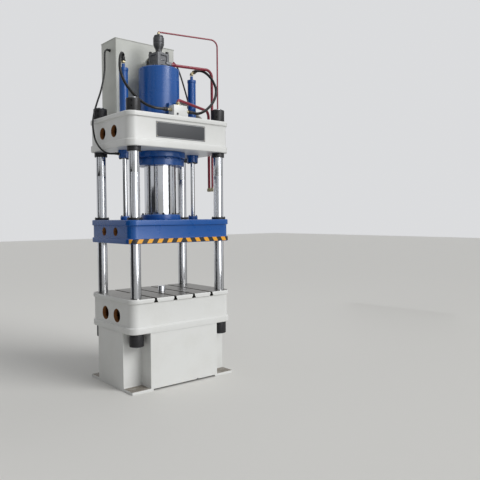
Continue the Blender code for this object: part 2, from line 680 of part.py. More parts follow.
def cylinder_rings(blue, bronze, rubber, carrier):
    """Lock nut on the crown, and the gland with its bush and packing below it."""
    nut = turned("cylinder_lock_nut", ring_profile(
        BARREL_DIAMETER / 2 + SEAT, LOCK_NUT_DIAMETER / 2, CROWN_TOP + SEAT,
        CROWN_TOP + SEAT + LOCK_NUT_HEIGHT, 0, EDGE_CHAMFER), LARGE_SIDES, loop=True)
    dress(nut, blue, carrier)

    pocket, outer = PACKING_OUTER_DIAMETER / 2 + SEAT, GLAND_DIAMETER / 2
    running = RAM_DIAMETER / 2 + RUNNING_FIT
    seat, lip = CYLINDER_BOTTOM - SEAT, GLAND_BOTTOM + GLAND_LIP
    profile = [(running, GLAND_BOTTOM), (outer - EDGE_CHAMFER, GLAND_BOTTOM),
               (outer, GLAND_BOTTOM + EDGE_CHAMFER), (outer, seat - 2 * EDGE_CHAMFER),
               (outer - 2 * EDGE_CHAMFER, seat), (pocket, seat), (pocket, lip), (running, lip)]
    dress(turned("gland_flange", profile, LARGE_SIDES, loop=True), blue, carrier)

    joint = seat - PACKING_HEIGHT
    bush = plain_ring("ram_bush", running, PACKING_OUTER_DIAMETER / 2, lip + SEAT,
                      joint - SEAT, LARGE_SIDES)
    dress(bush, bronze, carrier)
    packing = plain_ring("ram_packing", running, PACKING_OUTER_DIAMETER / 2, joint, seat - SEAT,
                         LARGE_SIDES)
    dress(packing, rubber, carrier)


def main_ram(chrome, blue, carrier):
    radius = RAM_DIAMETER / 2
    top = CYLINDER_TOP - RAM_BELOW_CYLINDER_TOP
    profile = [(radius, SLIDE_TOP + SEAT), (radius, top - EDGE_CHAMFER), (radius - EDGE_CHAMFER, top)]
    dress(turned("main_ram", profile, LARGE_SIDES), chrome, carrier)
    flange = turned("ram_flange", ring_profile(
        radius + SEAT, RAM_FLANGE_DIAMETER / 2, SLIDE_TOP + SEAT,
        SLIDE_TOP + SEAT + RAM_FLANGE_HEIGHT, 0, EDGE_CHAMFER), LARGE_SIDES, loop=True)
    dress(flange, blue, carrier)


def side_cylinders(blue, carrier):
    outer, inner, neck = SIDE_BARREL_DIAMETER / 2, SIDE_BORE / 2, SIDE_NECK_DIAMETER / 2
    base, floor = SIDE_BASE_DIAMETER / 2, CROWN_TOP + SEAT
    soft = EDGE_CHAMFER
    profile = [(inner, SIDE_TOP - SIDE_END), (inner, CROWN_BOTTOM + SEAT), (outer, CROWN_BOTTOM + SEAT),
               (outer, floor), (base, floor), (base, floor + SIDE_BASE_HEIGHT - soft),
               (base - soft, floor + SIDE_BASE_HEIGHT), (outer, floor + SIDE_BASE_HEIGHT),
               (outer, SIDE_TOP - soft), (outer - soft, SIDE_TOP), (neck, SIDE_TOP),
               (neck, SIDE_TOP + SIDE_NECK_HEIGHT)]
    running = SIDE_ROD_DIAMETER / 2 + RUNNING_FIT
    for name, side in (("left", -1), ("right", 1)):
        barrel = turned("side_cylinder_" + name, profile, SMALL_SIDES)
        if name == "right":
            elbow = rod("elbow", SIDE_ELBOW_DIAMETER / 2, -neck / 2, SIDE_ELBOW_LENGTH, FITTING_SIDES)
            place(elbow, Matrix.Rotation(math.radians(SIDE_ELBOW_TURN), 4, "Y"))
            join(barrel, moved(elbow, 0, 0, SIDE_TOP + SIDE_NECK_HEIGHT))
        barrel.location = (side * SIDE_CYLINDER_X, 0, 0)
        dress(barrel, blue, carrier)
        under = CROWN_BOTTOM - SEAT
        gland = turned("side_gland_" + name, ring_profile(
            running, SIDE_GLAND_DIAMETER / 2, under - SIDE_GLAND_HEIGHT, under, EDGE_CHAMFER, 0),
            SMALL_SIDES, loop=True)
        gland.location = (side * SIDE_CYLINDER_X, 0, 0)
        dress(gland, blue, carrier)


def side_rods(chrome, blue, carrier):
    radius, piston = SIDE_ROD_DIAMETER / 2, SIDE_BORE / 2 - RUNNING_FIT
    top = SIDE_TOP - SIDE_ROD_BELOW_END
    profile = [(radius, SLIDE_TOP + SEAT), (radius, top - SIDE_PISTON_HEIGHT),
               (piston, top - SIDE_PISTON_HEIGHT), (piston, top)]
    for name, side in (("left", -1), ("right", 1)):
        piece = turned("side_rod_" + name, profile, SMALL_SIDES)
        piece.location = (side * SIDE_CYLINDER_X, 0, 0)
        dress(piece, chrome, carrier)
        foot = turned("rod_foot_" + name, ring_profile(
            radius + SEAT, ROD_FOOT_DIAMETER / 2, SLIDE_TOP + SEAT,
            SLIDE_TOP + SEAT + ROD_FOOT_HEIGHT, 0, EDGE_CHAMFER), SMALL_SIDES, loop=True)
        foot.location = (side * SIDE_CYLINDER_X, 0, 0)
        dress(foot, blue, carrier)


def slide_guides(bronze, black, carrier):
    """Bronze bushes in the slide, and the wiper covers that hold them down."""
    running = COLUMN_DIAMETER / 2 + RUNNING_FIT
    for name, x, y in column_places():
        bush = plain_ring("guide_bush_" + name, running, BUSH_OUTER_DIAMETER / 2,
                          SLIDE_BOTTOM + SEAT, SLIDE_TOP, COLUMN_SIDES)
        bush.location = (x, y, 0)
        dress(bush, bronze, carrier)
        cover = turned("wiper_cover_" + name, ring_profile(
            running, WIPER_DIAMETER / 2, SLIDE_TOP + SEAT, SLIDE_TOP + SEAT + WIPER_HEIGHT,
            0, EDGE_CHAMFER / 2), COLUMN_SIDES, loop=True)
        cover.location = (x, y, 0)
        dress(cover, black, carrier)


def band_path(out):
    """The front of the slide's flange in plan, from corner to corner, moved out a little."""
    points = []
    for side in (-1, 1):
        facets = round(CORNER_STEPS * HAZARD_CORNER_SHARE)
        turns = [math.pi / 2 * (facets - step) / CORNER_STEPS for step in range(facets + 1)]
        corner = [(side * (PLAN_X / 2 - CORNER_RADIUS + (CORNER_RADIUS + out) * math.sin(turn)),
                   -PLAN_Y / 2 + CORNER_RADIUS - (CORNER_RADIUS + out) * math.cos(turn)) for turn in turns]
        points += corner if side < 0 else corner[::-1]
    return points


def hazard_strip(black, yellow, carrier):
    """A band round the front of the slide's lower flange, with raised yellow stripes."""
    low, high = SLIDE_BOTTOM + EDGE_CHAMFER, SLIDE_BOTTOM + SLIDE_FOOT_FLANGE - FLANGE_SLOPE - SEAT
    outline = band_path(SEAT + HAZARD_THICKNESS) + band_path(SEAT)[::-1]
    band = prism("hazard_strip", outline, low, high)
    face = -PLAN_Y / 2 - SEAT - HAZARD_THICKNESS
    height = high - low - 2 * HAZARD_PAINT
    half = HAZARD_PITCH * HAZARD_HALF_WIDTH
    for i in range(HAZARD_STRIPES):
        middle = HAZARD_PITCH * (i - (HAZARD_STRIPES - 1) / 2)
        lean = math.copysign(height * HAZARD_LEAN, -middle)
        outline = [(middle - half - lean, low + HAZARD_PAINT), (middle + half - lean, low + HAZARD_PAINT),
                   (middle + half + lean, high - HAZARD_PAINT), (middle - half + lean, high - HAZARD_PAINT)]
        stripe = prism("stripe", [(x, -z) for x, z in outline],
                       face - HAZARD_PAINT, face + HAZARD_THICKNESS / 2)
        join(band, lying(stripe, "Y"))
    dress(band, black, carrier)
    band.data.materials.append(yellow)
    for face_of_band in band.data.polygons:
        if abs(face_of_band.center.y - face + HAZARD_PAINT) < HAZARD_PAINT / 4:
            face_of_band.material_index = 1
    return band


def ejector(blue, chrome, frame, carrier):
    """The cylinder hangs under the bed; its rod comes up through the table."""
    outer, inner = EJECTOR_BARREL_DIAMETER / 2, EJECTOR_BORE / 2
    running, flange = EJECTOR_ROD_DIAMETER / 2 + RUNNING_FIT, EJECTOR_FLANGE_DIAMETER / 2
    top = BED_BOTTOM - SEAT
    bottom = top - EJECTOR_LENGTH
    floor = bottom + EJECTOR_END
    profile = [(inner, floor), (inner, top - EJECTOR_HEAD), (running, top - EJECTOR_HEAD), (running, top),
               (flange, top), (flange, top - EJECTOR_FLANGE_HEIGHT), (outer, top - EJECTOR_FLANGE_HEIGHT),
               (outer, bottom + EDGE_CHAMFER), (outer - EDGE_CHAMFER, bottom)]
    dress(turned("ejector_cylinder", profile, COLUMN_SIDES), blue, frame)

    radius, piston = EJECTOR_ROD_DIAMETER / 2, inner - RUNNING_FIT
    foot = floor + EJECTOR_DOWN_WAY
    head = TABLE_HEIGHT + EJECTOR_PROUD
    profile = [(piston, foot), (piston, foot + EJECTOR_PISTON_HEIGHT), (radius, foot + EJECTOR_PISTON_HEIGHT),
               (radius, head - EDGE_CHAMFER / 2), (radius - EDGE_CHAMFER / 2, head)]
    dress(turned("ejector_rod", profile, COLUMN_SIDES), chrome, carrier)


def prefill_valve(material, carrier):
    """A square valve block on a round base, with a pipe flange towards the tank."""
    body = rod("prefill_valve", VALVE_BASE_DIAMETER / 2, CYLINDER_TOP + SEAT, VALVE_BASE_TOP, LARGE_SIDES)
    half = VALVE_WIDTH / 2
    block = prism("block", rounded_plan(half, half, EDGE_CHAMFER), VALVE_BASE_TOP - OVERSHOOT, VALVE_TOP)
    for turn in range(4):
        middle = (VALVE_BASE_TOP + VALVE_TOP) / 2
        window = box("window", (half - VALVE_WINDOW_DEPTH, -VALVE_WINDOW_WIDTH / 2,
                                middle - VALVE_WINDOW_HEIGHT / 2),
                     (half + OVERSHOOT, VALVE_WINDOW_WIDTH / 2, middle + VALVE_WINDOW_HEIGHT / 2))
        if turn != 1:
            cut(block, place(window, Matrix.Rotation(math.pi / 2 * turn, 4, "Z")))
        else:
            bpy.data.objects.remove(window, do_unlink=True)
    place(block, Matrix.Rotation(math.radians(VALVE_TURN), 4, "Z"))
    neck = lying(rod("neck", FILL_PIPE_DIAMETER / 2, half / 2, FILL_PIPE_REACH), "Y")
    flange = lying(rod("flange", FILL_PIPE_FLANGE_DIAMETER / 2,
                       FILL_PIPE_REACH - FILL_PIPE_FLANGE_THICKNESS, FILL_PIPE_REACH), "Y")
    join(body, block, moved(neck, 0, 0, FILL_PIPE_HEIGHT), moved(flange, 0, 0, FILL_PIPE_HEIGHT))
    union = lying(rod("union", UNION_DIAMETER / 2, 0, VALVE_UNION_REACH, FITTING_SIDES), "X")
    join(body, moved(union, 0, PREFILL_PIPE_Y, PREFILL_PIPE_HEIGHT))
    way = lying(rod("way", FILL_PIPE_DIAMETER / 2 - TANK_WALL, 0, FILL_PIPE_REACH + OVERSHOOT), "Y")
    cut(body, moved(way, 0, 0, FILL_PIPE_HEIGHT))
    return dress(body, material, carrier)


def prefill_actuator(material, carrier):
    """The small cylinder that pushes the prefill valve open, shaped like a goblet."""
    foot = VALVE_TOP + SEAT
    outline = [(ACTUATOR_STEM_DIAMETER, 0), (ACTUATOR_STEM_DIAMETER, ACTUATOR_STEM_HEIGHT),
               (ACTUATOR_FLARE_DIAMETER, ACTUATOR_FLARE_HEIGHT), (ACTUATOR_DIAMETER, ACTUATOR_CUP_HEIGHT),
               (ACTUATOR_DIAMETER, ACTUATOR_RIM_HEIGHT), (ACTUATOR_CAP_DIAMETER, ACTUATOR_RIM_HEIGHT),
               (ACTUATOR_CAP_DIAMETER, ACTUATOR_CAP_HEIGHT),
               (ACTUATOR_FITTING_DIAMETER, ACTUATOR_CAP_HEIGHT),
               (ACTUATOR_FITTING_DIAMETER, ACTUATOR_HEIGHT)]
    profile = [(diameter / 2, foot + height) for diameter, height in outline]
    return dress(turned("prefill_actuator", profile, COLUMN_SIDES), material, carrier)


def fill_tank(material, carrier):
    """A welded sheet tank on two feet, hollow, with its outlet towards the valve."""
    middle = TANK_FRONT_Y + TANK_DEPTH / 2
    outline = rounded_plan(TANK_WIDTH / 2, TANK_DEPTH / 2, TANK_EDGE_RADIUS)
    body = prism("fill_tank", outline, TANK_BOTTOM, TANK_TOP)
    pipe = lying(rod("pipe", FILL_PIPE_DIAMETER / 2, FILL_PIPE_REACH + SEAT - middle,
                     TANK_FRONT_Y + TANK_WALL / 2 - middle), "Y")
    flange = lying(rod("flange", FILL_PIPE_FLANGE_DIAMETER / 2, FILL_PIPE_REACH + SEAT - middle,
                       FILL_PIPE_REACH + FILL_PIPE_FLANGE_THICKNESS - middle), "Y")
    join(body, moved(pipe, 0, 0, FILL_PIPE_HEIGHT), moved(flange, 0, 0, FILL_PIPE_HEIGHT))
    for side in (-1, 1):
        foot = box("foot", (side * TANK_FOOT_X - TANK_FOOT_WIDTH / 2,
                            -TANK_DEPTH / 2 + TANK_FOOT_FRONT_INSET, CROWN_TOP + SEAT),
                   (side * TANK_FOOT_X + TANK_FOOT_WIDTH / 2,
                    TANK_DEPTH / 2 - TANK_FOOT_REAR_INSET, TANK_BOTTOM + TANK_WALL / 2))
        join(body, foot)
    half_x, half_y = TANK_WIDTH / 2 - TANK_WALL, TANK_DEPTH / 2 - TANK_WALL
    inside = box("inside", (-half_x, -half_y, TANK_BOTTOM + TANK_WALL),
                 (half_x, half_y, TANK_TOP - TANK_WALL))
    way = lying(rod("way", FILL_PIPE_DIAMETER / 2 - TANK_WALL, -middle, -half_y + OVERSHOOT), "Y")
    cut(body, inside, moved(way, 0, 0, FILL_PIPE_HEIGHT))
    return dress(moved(body, 0, middle), material, carrier)


def manifold_block(material, carrier):
    """The block at the foot of the cylinder, with a nipple at each side and one on top."""
    low = (MANIFOLD_LEFT_X, MANIFOLD_FRONT_Y, CROWN_TOP + SEAT)
    high = (MANIFOLD_LEFT_X + MANIFOLD_WIDTH, MANIFOLD_REAR_Y, CROWN_TOP + MANIFOLD_HEIGHT)
    body = box("manifold_block", low, high)
    middle_y = (low[1] + high[1]) / 2
    through = lying(rod("through", HOSE_NIPPLE_DIAMETER / 2, low[0] - HOSE_NIPPLE_LENGTH,
                        high[0] + HOSE_NIPPLE_LENGTH, FITTING_SIDES), "X")
    upright = rod("upright", UNION_DIAMETER / 2, high[2] - OVERSHOOT, high[2] + PIPE_NIPPLE_HEIGHT,
                  FITTING_SIDES)
    join(body, moved(through, 0, middle_y, NIPPLE_HEIGHT), moved(upright, PIPE_NIPPLE_X, middle_y))
    return dress(body, material, carrier)


def bent_route(corners, radius, steps=5):
    """Straight runs between corners, with each corner turned on an arc."""
    corners = [Vector(c) for c in corners]
    route = [corners[0]]
    for before, corner, after in zip(corners, corners[1:], corners[2:]):
        into, out = (corner - before).normalized(), (after - corner).normalized()
        turn = into.angle(out)
        room = min((corner - before).length, (after - corner).length) - radius / 8
        back = min(radius * math.tan(turn / 2), room)
        start = corner - into * back
        centre = start + (out - into * into.dot(out)).normalized() * (back / math.tan(turn / 2))
        axis = into.cross(out)
        for i in range(steps + 1):
            route.append(centre + Matrix.Rotation(turn * i / steps, 3, axis) @ (start - centre))
    return route + [corners[-1]]


def smooth_route(points, spacing):
    """A smooth curve through hand-chosen points, read off at an even spacing."""
    points = [Vector(p) for p in points]
    ends = [points[0] * 2 - points[1]] + points + [points[-1] * 2 - points[-2]]
    fine = []
    for a, b, c, d in zip(ends, ends[1:], ends[2:], ends[3:]):
        for i in range(24):
            t = i / 24
            fine.append(0.5 * (2 * b + (c - a) * t + (2 * a - 5 * b + 4 * c - d) * t ** 2
                               + (3 * b - a - 3 * c + d) * t ** 3))
    fine.append(points[-1])
    length = sum((q - p).length for p, q in zip(fine, fine[1:]))
    count = max(2, round(length / spacing))
    route, walked, target = [fine[0]], 0.0, length / count
    for p, q in zip(fine, fine[1:]):
        step = (q - p).length
        while step > 0 and walked + step >= target * len(route) and len(route) < count:
            route.append(p.lerp(q, (target * len(route) - walked) / step))
        walked += step
    route.append(fine[-1])
    # the hose leaves and meets its fittings squarely
    route[1] = points[0] + (points[1] - points[0]).normalized() * (route[1] - points[0]).length
    route[-2] = points[-1] + (points[-2] - points[-1]).normalized() * (route[-2] - points[-1]).length
    return route


def tube_curve(name, route, diameter, resolution):
    """A round tube along a route, as a bevelled curve with closed ends."""
    curve = bpy.data.curves.new(name, "CURVE")
    curve.dimensions = "3D"
    curve.bevel_depth = diameter / 2
    curve.bevel_resolution = resolution
    curve.use_fill_caps = True
    line = curve.splines.new("POLY")
    line.points.add(len(route) - 1)
    for point, place_of_point in zip(line.points, route):
        point.co = (*place_of_point, 1)
    made = bpy.data.objects.new(name, curve)
    bpy.context.collection.objects.link(made)
    return made


def rigid_pipe(name, corners, diameter, material, carrier):
    """A bent steel pipe, closed at its lower end by a union and its plug."""
    tube = tube_curve(name + "_run", bent_route(corners, PIPE_BEND), diameter, 2)
    bpy.context.view_layer.update()
    graph = bpy.context.evaluated_depsgraph_get()
    mesh = bpy.data.meshes.new_from_object(tube.evaluated_get(graph))
    bpy.data.objects.remove(tube, do_unlink=True)
    shape = bmesh.new()
    shape.from_mesh(mesh)
    bmesh.ops.remove_doubles(shape, verts=shape.verts, dist=1e-6)
    body = from_bmesh(name, shape)
    x, y, bottom = corners[-1]
    size = UNION_DIAMETER * diameter / PRESSURE_PIPE_DIAMETER
    union = rod("union", size / 2, bottom - UNION_LENGTH / 2, bottom + UNION_LENGTH / 2, UNION_SIDES)
    join(body, moved(union, x, y))
    return dress(body, material, carrier)


def pipes(material, carrier):
    """The three red lines that run over the crown and down its right side."""
    manifold_y = MANIFOLD_FRONT_Y + MANIFOLD_DEPTH / 2
    rigid_pipe("pressure_pipe", [
        (PIPE_NIPPLE_X, manifold_y, PRESSURE_PIPE_BOTTOM), (PIPE_NIPPLE_X, manifold_y, PRESSURE_PIPE_HEIGHT),
        (PIPE_RUN_X, PRESSURE_PIPE_Y, PRESSURE_PIPE_HEIGHT),
        (PIPE_RUN_X, PRESSURE_PIPE_Y, PIPE_END_HEIGHT)], PRESSURE_PIPE_DIAMETER, material, carrier)
    rigid_pipe("prefill_pipe", [
        (VALVE_UNION_REACH + SEAT, PREFILL_PIPE_Y, PREFILL_PIPE_HEIGHT),
        (PIPE_RUN_X, PREFILL_PIPE_Y, PREFILL_PIPE_HEIGHT),
        (PIPE_RUN_X, PREFILL_PIPE_Y, PIPE_END_HEIGHT)], PRESSURE_PIPE_DIAMETER, material, carrier)
    rigid_pipe("pilot_pipe", [
        (0, 0, PILOT_PIPE_BOTTOM), (0, 0, PILOT_PIPE_HEIGHT),
        (PIPE_RUN_X, PILOT_PIPE_Y, PILOT_PIPE_HEIGHT),
        (PIPE_RUN_X, PILOT_PIPE_Y, PIPE_END_HEIGHT)], PILOT_PIPE_DIAMETER, material, carrier)


def pipe_bracket(material, carrier):
    """The clamp on the crown's right side that the pipes pass and the suction hose ends on."""
    low = (PLAN_X / 2 - WEB_INSET + SEAT, BRACKET_FRONT_Y, BRACKET_TOP - BRACKET_HEIGHT)
    high = (BRACKET_OUTER_X, BRACKET_REAR_Y, BRACKET_TOP)
    body = box("pipe_bracket", low, high)
    for y, diameter in ((PRESSURE_PIPE_Y, PRESSURE_PIPE_DIAMETER), (PREFILL_PIPE_Y, PRESSURE_PIPE_DIAMETER),
                        (PILOT_PIPE_Y, PILOT_PIPE_DIAMETER)):
        radius = (diameter / 2 + SEAT) / math.cos(math.pi / SMALL_SIDES)
        bore(body, PIPE_RUN_X, y, 2 * radius, low[2] - OVERSHOOT, high[2] + OVERSHOOT, SMALL_SIDES)
    nipple = rod("nipple", SUCTION_HOSE_DIAMETER / 2 + NIPPLE_WALL, high[2] - OVERSHOOT,
                 high[2] + BRACKET_NIPPLE_HEIGHT)
    join(body, moved(nipple, PIPE_RUN_X, SUCTION_HOSE_Y))
    return dress(body, material, carrier)


def hose(name, start, between, end, diameter, material, carrier):
    """A free hose. The heights of the points between its ends are above the crown."""
    points = start + [(x, y, CROWN_TOP + z) for x, y, z in between] + end
    made = tube_curve(name, smooth_route(points, HOSE_POINT_SPACING * diameter), diameter, 2)
    made.data.materials.append(material)
    made.parent = carrier
    return made


def hose_end(place_of_end, away, straight):
    """An end of a hose, and the point where the hose may begin to bend."""
    end, direction = Vector(place_of_end), Vector(away).normalized()
    return [tuple(end + direction * SEAT), tuple(end + direction * straight)]


def return_hoses(black, carrier):
    """From the tops of the side cylinders to the two sides of the manifold block."""
    nipple_y = MANIFOLD_FRONT_Y + MANIFOLD_DEPTH / 2
    neck_top = SIDE_TOP + SIDE_NECK_HEIGHT
    start = hose_end((-SIDE_CYLINDER_X, 0, neck_top), (0, 0, 1), HOSE_STRAIGHT)
    end = hose_end((MANIFOLD_LEFT_X - HOSE_NIPPLE_LENGTH, nipple_y, NIPPLE_HEIGHT), (-1, 0, 0), HOSE_STRAIGHT)
    hose("return_hose_left", start, [
        (-0.455, -0.012, 0.673), (-0.486, -0.045, 0.699), (-0.524, -0.090, 0.690),
        (-0.547, -0.122, 0.647), (-0.552, -0.140, 0.580), (-0.536, -0.162, 0.495),
        (-0.498, -0.190, 0.405), (-0.440, -0.222, 0.310), (-0.365, -0.255, 0.220),
        (-0.290, -0.283, 0.153), (-0.225, -0.308, 0.107)], end[::-1], RETURN_HOSE_DIAMETER, black, carrier)
    turn = math.radians(SIDE_ELBOW_TURN)
    away = Vector((math.sin(turn), 0, math.cos(turn)))
    elbow = Vector((SIDE_CYLINDER_X, 0, neck_top)) + away * SIDE_ELBOW_LENGTH
    start = hose_end((MANIFOLD_LEFT_X + MANIFOLD_WIDTH + HOSE_NIPPLE_LENGTH, nipple_y, NIPPLE_HEIGHT),
                     (1, 0, 0), HOSE_STRAIGHT)
    hose("return_hose_right", start, [
        (0.271, -0.325, 0.075), (0.337, -0.310, 0.089), (0.408, -0.290, 0.120),
        (0.483, -0.265, 0.167), (0.560, -0.240, 0.231), (0.628, -0.210, 0.313),
        (0.665, -0.182, 0.405), (0.670, -0.155, 0.470), (0.658, -0.123, 0.536),
        (0.634, -0.088, 0.591), (0.603, -0.050, 0.633), (0.566, -0.018, 0.653)],
        hose_end(elbow, away, HOSE_STRAIGHT)[::-1], RETURN_HOSE_DIAMETER, black, carrier)


def tank_hoses(black, grey, carrier):
    """From the fill tank's sides to the left gland, the crown's drain and the bracket."""
    side = TANK_WIDTH / 2
    gland_face = SIDE_CYLINDER_X + SIDE_GLAND_DIAMETER / 2
    start = hose_end((-side, TANK_DRAIN_Y, TANK_BOTTOM + TANK_DRAIN_HEIGHT), (-1, 0, 0), HOSE_STRAIGHT)
    end = hose_end((-gland_face, 0, CROWN_BOTTOM - SIDE_GLAND_HEIGHT / 2), (-1, 0, 0), HOSE_STRAIGHT)
    hose("drain_hose_left", start, [
        (-0.450, 0.575, 0.725), (-0.475, 0.545, 0.605), (-0.510, 0.520, 0.485), (-0.550, 0.485, 0.360),
        (-0.595, 0.445, 0.240), (-0.640, 0.395, 0.120), (-0.672, 0.340, 0.005),
        (-0.682, 0.290, -0.105), (-0.684, 0.240, -0.210), (-0.680, 0.185, -0.305),
        (-0.662, 0.125, -0.375), (-0.630, 0.060, -0.401), (-0.595, 0.015, -0.397)],
        end[::-1], DRAIN_HOSE_DIAMETER, black, carrier)
    start = hose_end((side, TANK_VENT_Y, TANK_BOTTOM + TANK_VENT_HEIGHT), (1, 0, 0), HOSE_STRAIGHT)
    end = hose_end((DRAIN_BOSS_X, DRAIN_BOSS_Y, CROWN_TOP + DRAIN_BOSS_HEIGHT), (0, 0, 1), HOSE_STRAIGHT)
    hose("drain_hose_right", start, [
        (0.447, 0.378, 0.638), (0.459, 0.335, 0.545), (0.470, 0.290, 0.435),
        (0.480, 0.240, 0.315), (0.490, 0.190, 0.205), (0.499, 0.138, 0.125)],
        end[::-1], DRAIN_HOSE_DIAMETER, black, carrier)
    start = hose_end((side, TANK_SUCTION_Y, TANK_BOTTOM + TANK_SUCTION_HEIGHT), (1, 0, 0), HOSE_STRAIGHT)
    end = hose_end((PIPE_RUN_X, SUCTION_HOSE_Y, BRACKET_TOP + BRACKET_NIPPLE_HEIGHT), (0, 0, 1), HOSE_STRAIGHT)
    hose("suction_hose", start, [
        (0.500, 0.430, 0.393), (0.560, 0.350, 0.330), (0.615, 0.265, 0.255), (0.655, 0.190, 0.165),
        (0.685, 0.130, 0.093)], end[::-1], SUCTION_HOSE_DIAMETER, grey, carrier)


def build():
    empty_scene()
    white = finish("off_white_paint", "#DCDCDA", 0.35)
    blue = finish("blue_paint", "#1F4F9E", 0.35)
    tank_paint = finish("tank_grey_paint", "#BFC1BC", 0.45)
    chrome = finish("hard_chrome", "#D8D9DB", 0.12, 1.0)
    oxide = finish("black_oxide_steel", "#2A2A2C", 0.5, 0.8)
    valve_steel = finish("phosphated_steel", "#5C5D5F", 0.5, 0.7)
    bronze = finish("bearing_bronze", "#A9793B", 0.35, 1.0)
    rubber = finish("black_rubber", "#1B1B1C", 0.6)
    red = finish("red_pipe_paint", "#842033", 0.35)
    grey = finish("grey_hose", "#A09C94", 0.6)
    yellow = finish("hazard_yellow", "#F0A818", 0.5)

    frame = guide("press_frame", (FRAME_SHIFT_X, FRAME_SHIFT_Y, 0))
    carriage = guide("slide_carriage", (0, 0, SLIDE_BOTTOM), frame)
    lifter = guide("ejector_lifter", (0, 0, TABLE_HEIGHT), frame)

    table_beam(white, frame)
    pedestal(white, frame)
    crown(white, frame)
    columns(chrome, frame)
    column_nuts(oxide, frame)
    main_cylinder(blue, frame)
    cylinder_rings(blue, bronze, rubber, frame)
    side_cylinders(blue, frame)
    prefill_valve(valve_steel, frame)
    prefill_actuator(valve_steel, frame)
    fill_tank(tank_paint, frame)
    manifold_block(white, frame)
    pipe_bracket(valve_steel, frame)
    pipes(red, frame)
    return_hoses(rubber, frame)
    tank_hoses(rubber, grey, frame)

    slide(blue, carriage)
    slide_guides(bronze, oxide, carriage)
    hazard_strip(oxide, yellow, carriage)
    main_ram(chrome, blue, carriage)
    side_rods(chrome, blue, carriage)
    ejector(blue, chrome, frame, lifter)


build()
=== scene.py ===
# %% [markdown]
# # A four-column hydraulic press
# The press stands 3.9 m high: a hollow bed on a pedestal, a crown on four chromed columns, and between
# them a slide that a big ram pushes down and two thin side cylinders pull up again. Its solids come from
# a CAD model. Here they get round edges, screws, fittings and finishes, and most of them are replaced by
# finer pieces of the same size. All lengths are metres, +X is to the right and +Z is up.

# %% Load the solids
import math

import bmesh
import bpy
from mathutils import Matrix, Vector


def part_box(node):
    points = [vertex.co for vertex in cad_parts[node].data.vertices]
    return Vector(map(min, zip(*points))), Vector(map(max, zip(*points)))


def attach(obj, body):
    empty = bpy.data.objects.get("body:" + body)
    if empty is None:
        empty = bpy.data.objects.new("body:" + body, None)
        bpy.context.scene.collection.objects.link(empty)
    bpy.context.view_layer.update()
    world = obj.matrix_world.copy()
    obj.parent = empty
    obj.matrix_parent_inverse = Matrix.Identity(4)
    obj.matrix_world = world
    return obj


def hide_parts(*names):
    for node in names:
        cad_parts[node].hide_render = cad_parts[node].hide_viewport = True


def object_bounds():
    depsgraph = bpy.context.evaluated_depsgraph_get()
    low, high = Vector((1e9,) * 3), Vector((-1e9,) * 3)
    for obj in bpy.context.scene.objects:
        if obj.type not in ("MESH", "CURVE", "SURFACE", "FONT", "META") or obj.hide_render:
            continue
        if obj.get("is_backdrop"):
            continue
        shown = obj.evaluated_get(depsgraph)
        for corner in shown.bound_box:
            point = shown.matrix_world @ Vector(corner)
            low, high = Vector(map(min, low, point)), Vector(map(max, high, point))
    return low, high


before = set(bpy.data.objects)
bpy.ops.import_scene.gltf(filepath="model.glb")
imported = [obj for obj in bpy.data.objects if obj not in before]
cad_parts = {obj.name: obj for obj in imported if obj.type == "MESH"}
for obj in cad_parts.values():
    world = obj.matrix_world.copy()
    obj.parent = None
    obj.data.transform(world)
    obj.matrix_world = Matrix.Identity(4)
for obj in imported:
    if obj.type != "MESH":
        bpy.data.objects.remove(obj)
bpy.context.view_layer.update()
ram_low, ram_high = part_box("main_ram")
MIDDLE = Vector(((ram_low.x + ram_high.x) / 2, (ram_low.y + ram_high.y) / 2, 0))
print("the ram's axis stands at", [round(v, 4) for v in MIDDLE])

# %% [markdown]
# ## The camera
# The picture was taken at eye height, 1.8 m, from the left of the press, with a plain lens and the
# camera tipped down by a little over two degrees. A camera could be aimed at a target with a constraint,
# but a constraint hides the roll. Here the three axes are written out: heading, then pitch, then roll.

# %% Camera
def put(name, data):
    """A new object in the scene."""
    made = bpy.data.objects.new(name, data)
    bpy.context.scene.collection.objects.link(made)
    return made


EYE = Vector((-3.423, -5.482, 1.799)) + MIDDLE
HEADING, PITCH, ROLL = (math.radians(a) for a in (50.044, -2.340, -0.391))
ahead = Vector((math.cos(HEADING) * math.cos(PITCH), math.sin(HEADING) * math.cos(PITCH), math.sin(PITCH)))
level = Vector((math.sin(HEADING), -math.cos(HEADING), 0))
upward = level.cross(ahead)
right = level * math.cos(ROLL) + upward * math.sin(ROLL)
top = upward * math.cos(ROLL) - level * math.sin(ROLL)

lens = bpy.data.cameras.new("camera")
lens.sensor_fit = "HORIZONTAL"
lens.sensor_width = 36
lens.lens = 42.29
camera = put("camera", lens)
camera.matrix_world = Matrix.Translation(EYE) @ Matrix((right, top, -ahead)).transposed().to_4x4()
bpy.context.scene.camera = camera
print("camera at", [round(v, 3) for v in EYE], "looks along", [round(v, 3) for v in ahead])

# %% [markdown]
# ## Nodes and finishes
# One small function adds a node, in shaders and in geometry trees alike: settings go in by name, and an
# input takes either a value or the output of another node. Colours are written as sRGB hex, as on a
# paint chart, and are turned to the linear values that Blender works in.

# %% One function for every node
def node(tree, kind, inputs=None, **settings):
    """Add a node, set it and link it. Inputs go by name or number."""
    made = tree.nodes.new(kind)
    for key, value in settings.items():
        setattr(made, key, value)
    for key, value in (inputs or {}).items():
        if isinstance(value, bpy.types.NodeSocket):
            tree.links.new(value, made.inputs[key])
        else:
            made.inputs[key].default_value = value
    return made


def linear(hex_colour):
    """sRGB hex to linear red, green, blue and alpha."""
    values = [int(hex_colour[i:i + 2], 16) / 255 for i in (1, 3, 5)]
    return [v / 12.92 if v <= 0.04045 else ((v + 0.055) / 1.055) ** 2.4 for v in values] + [1]


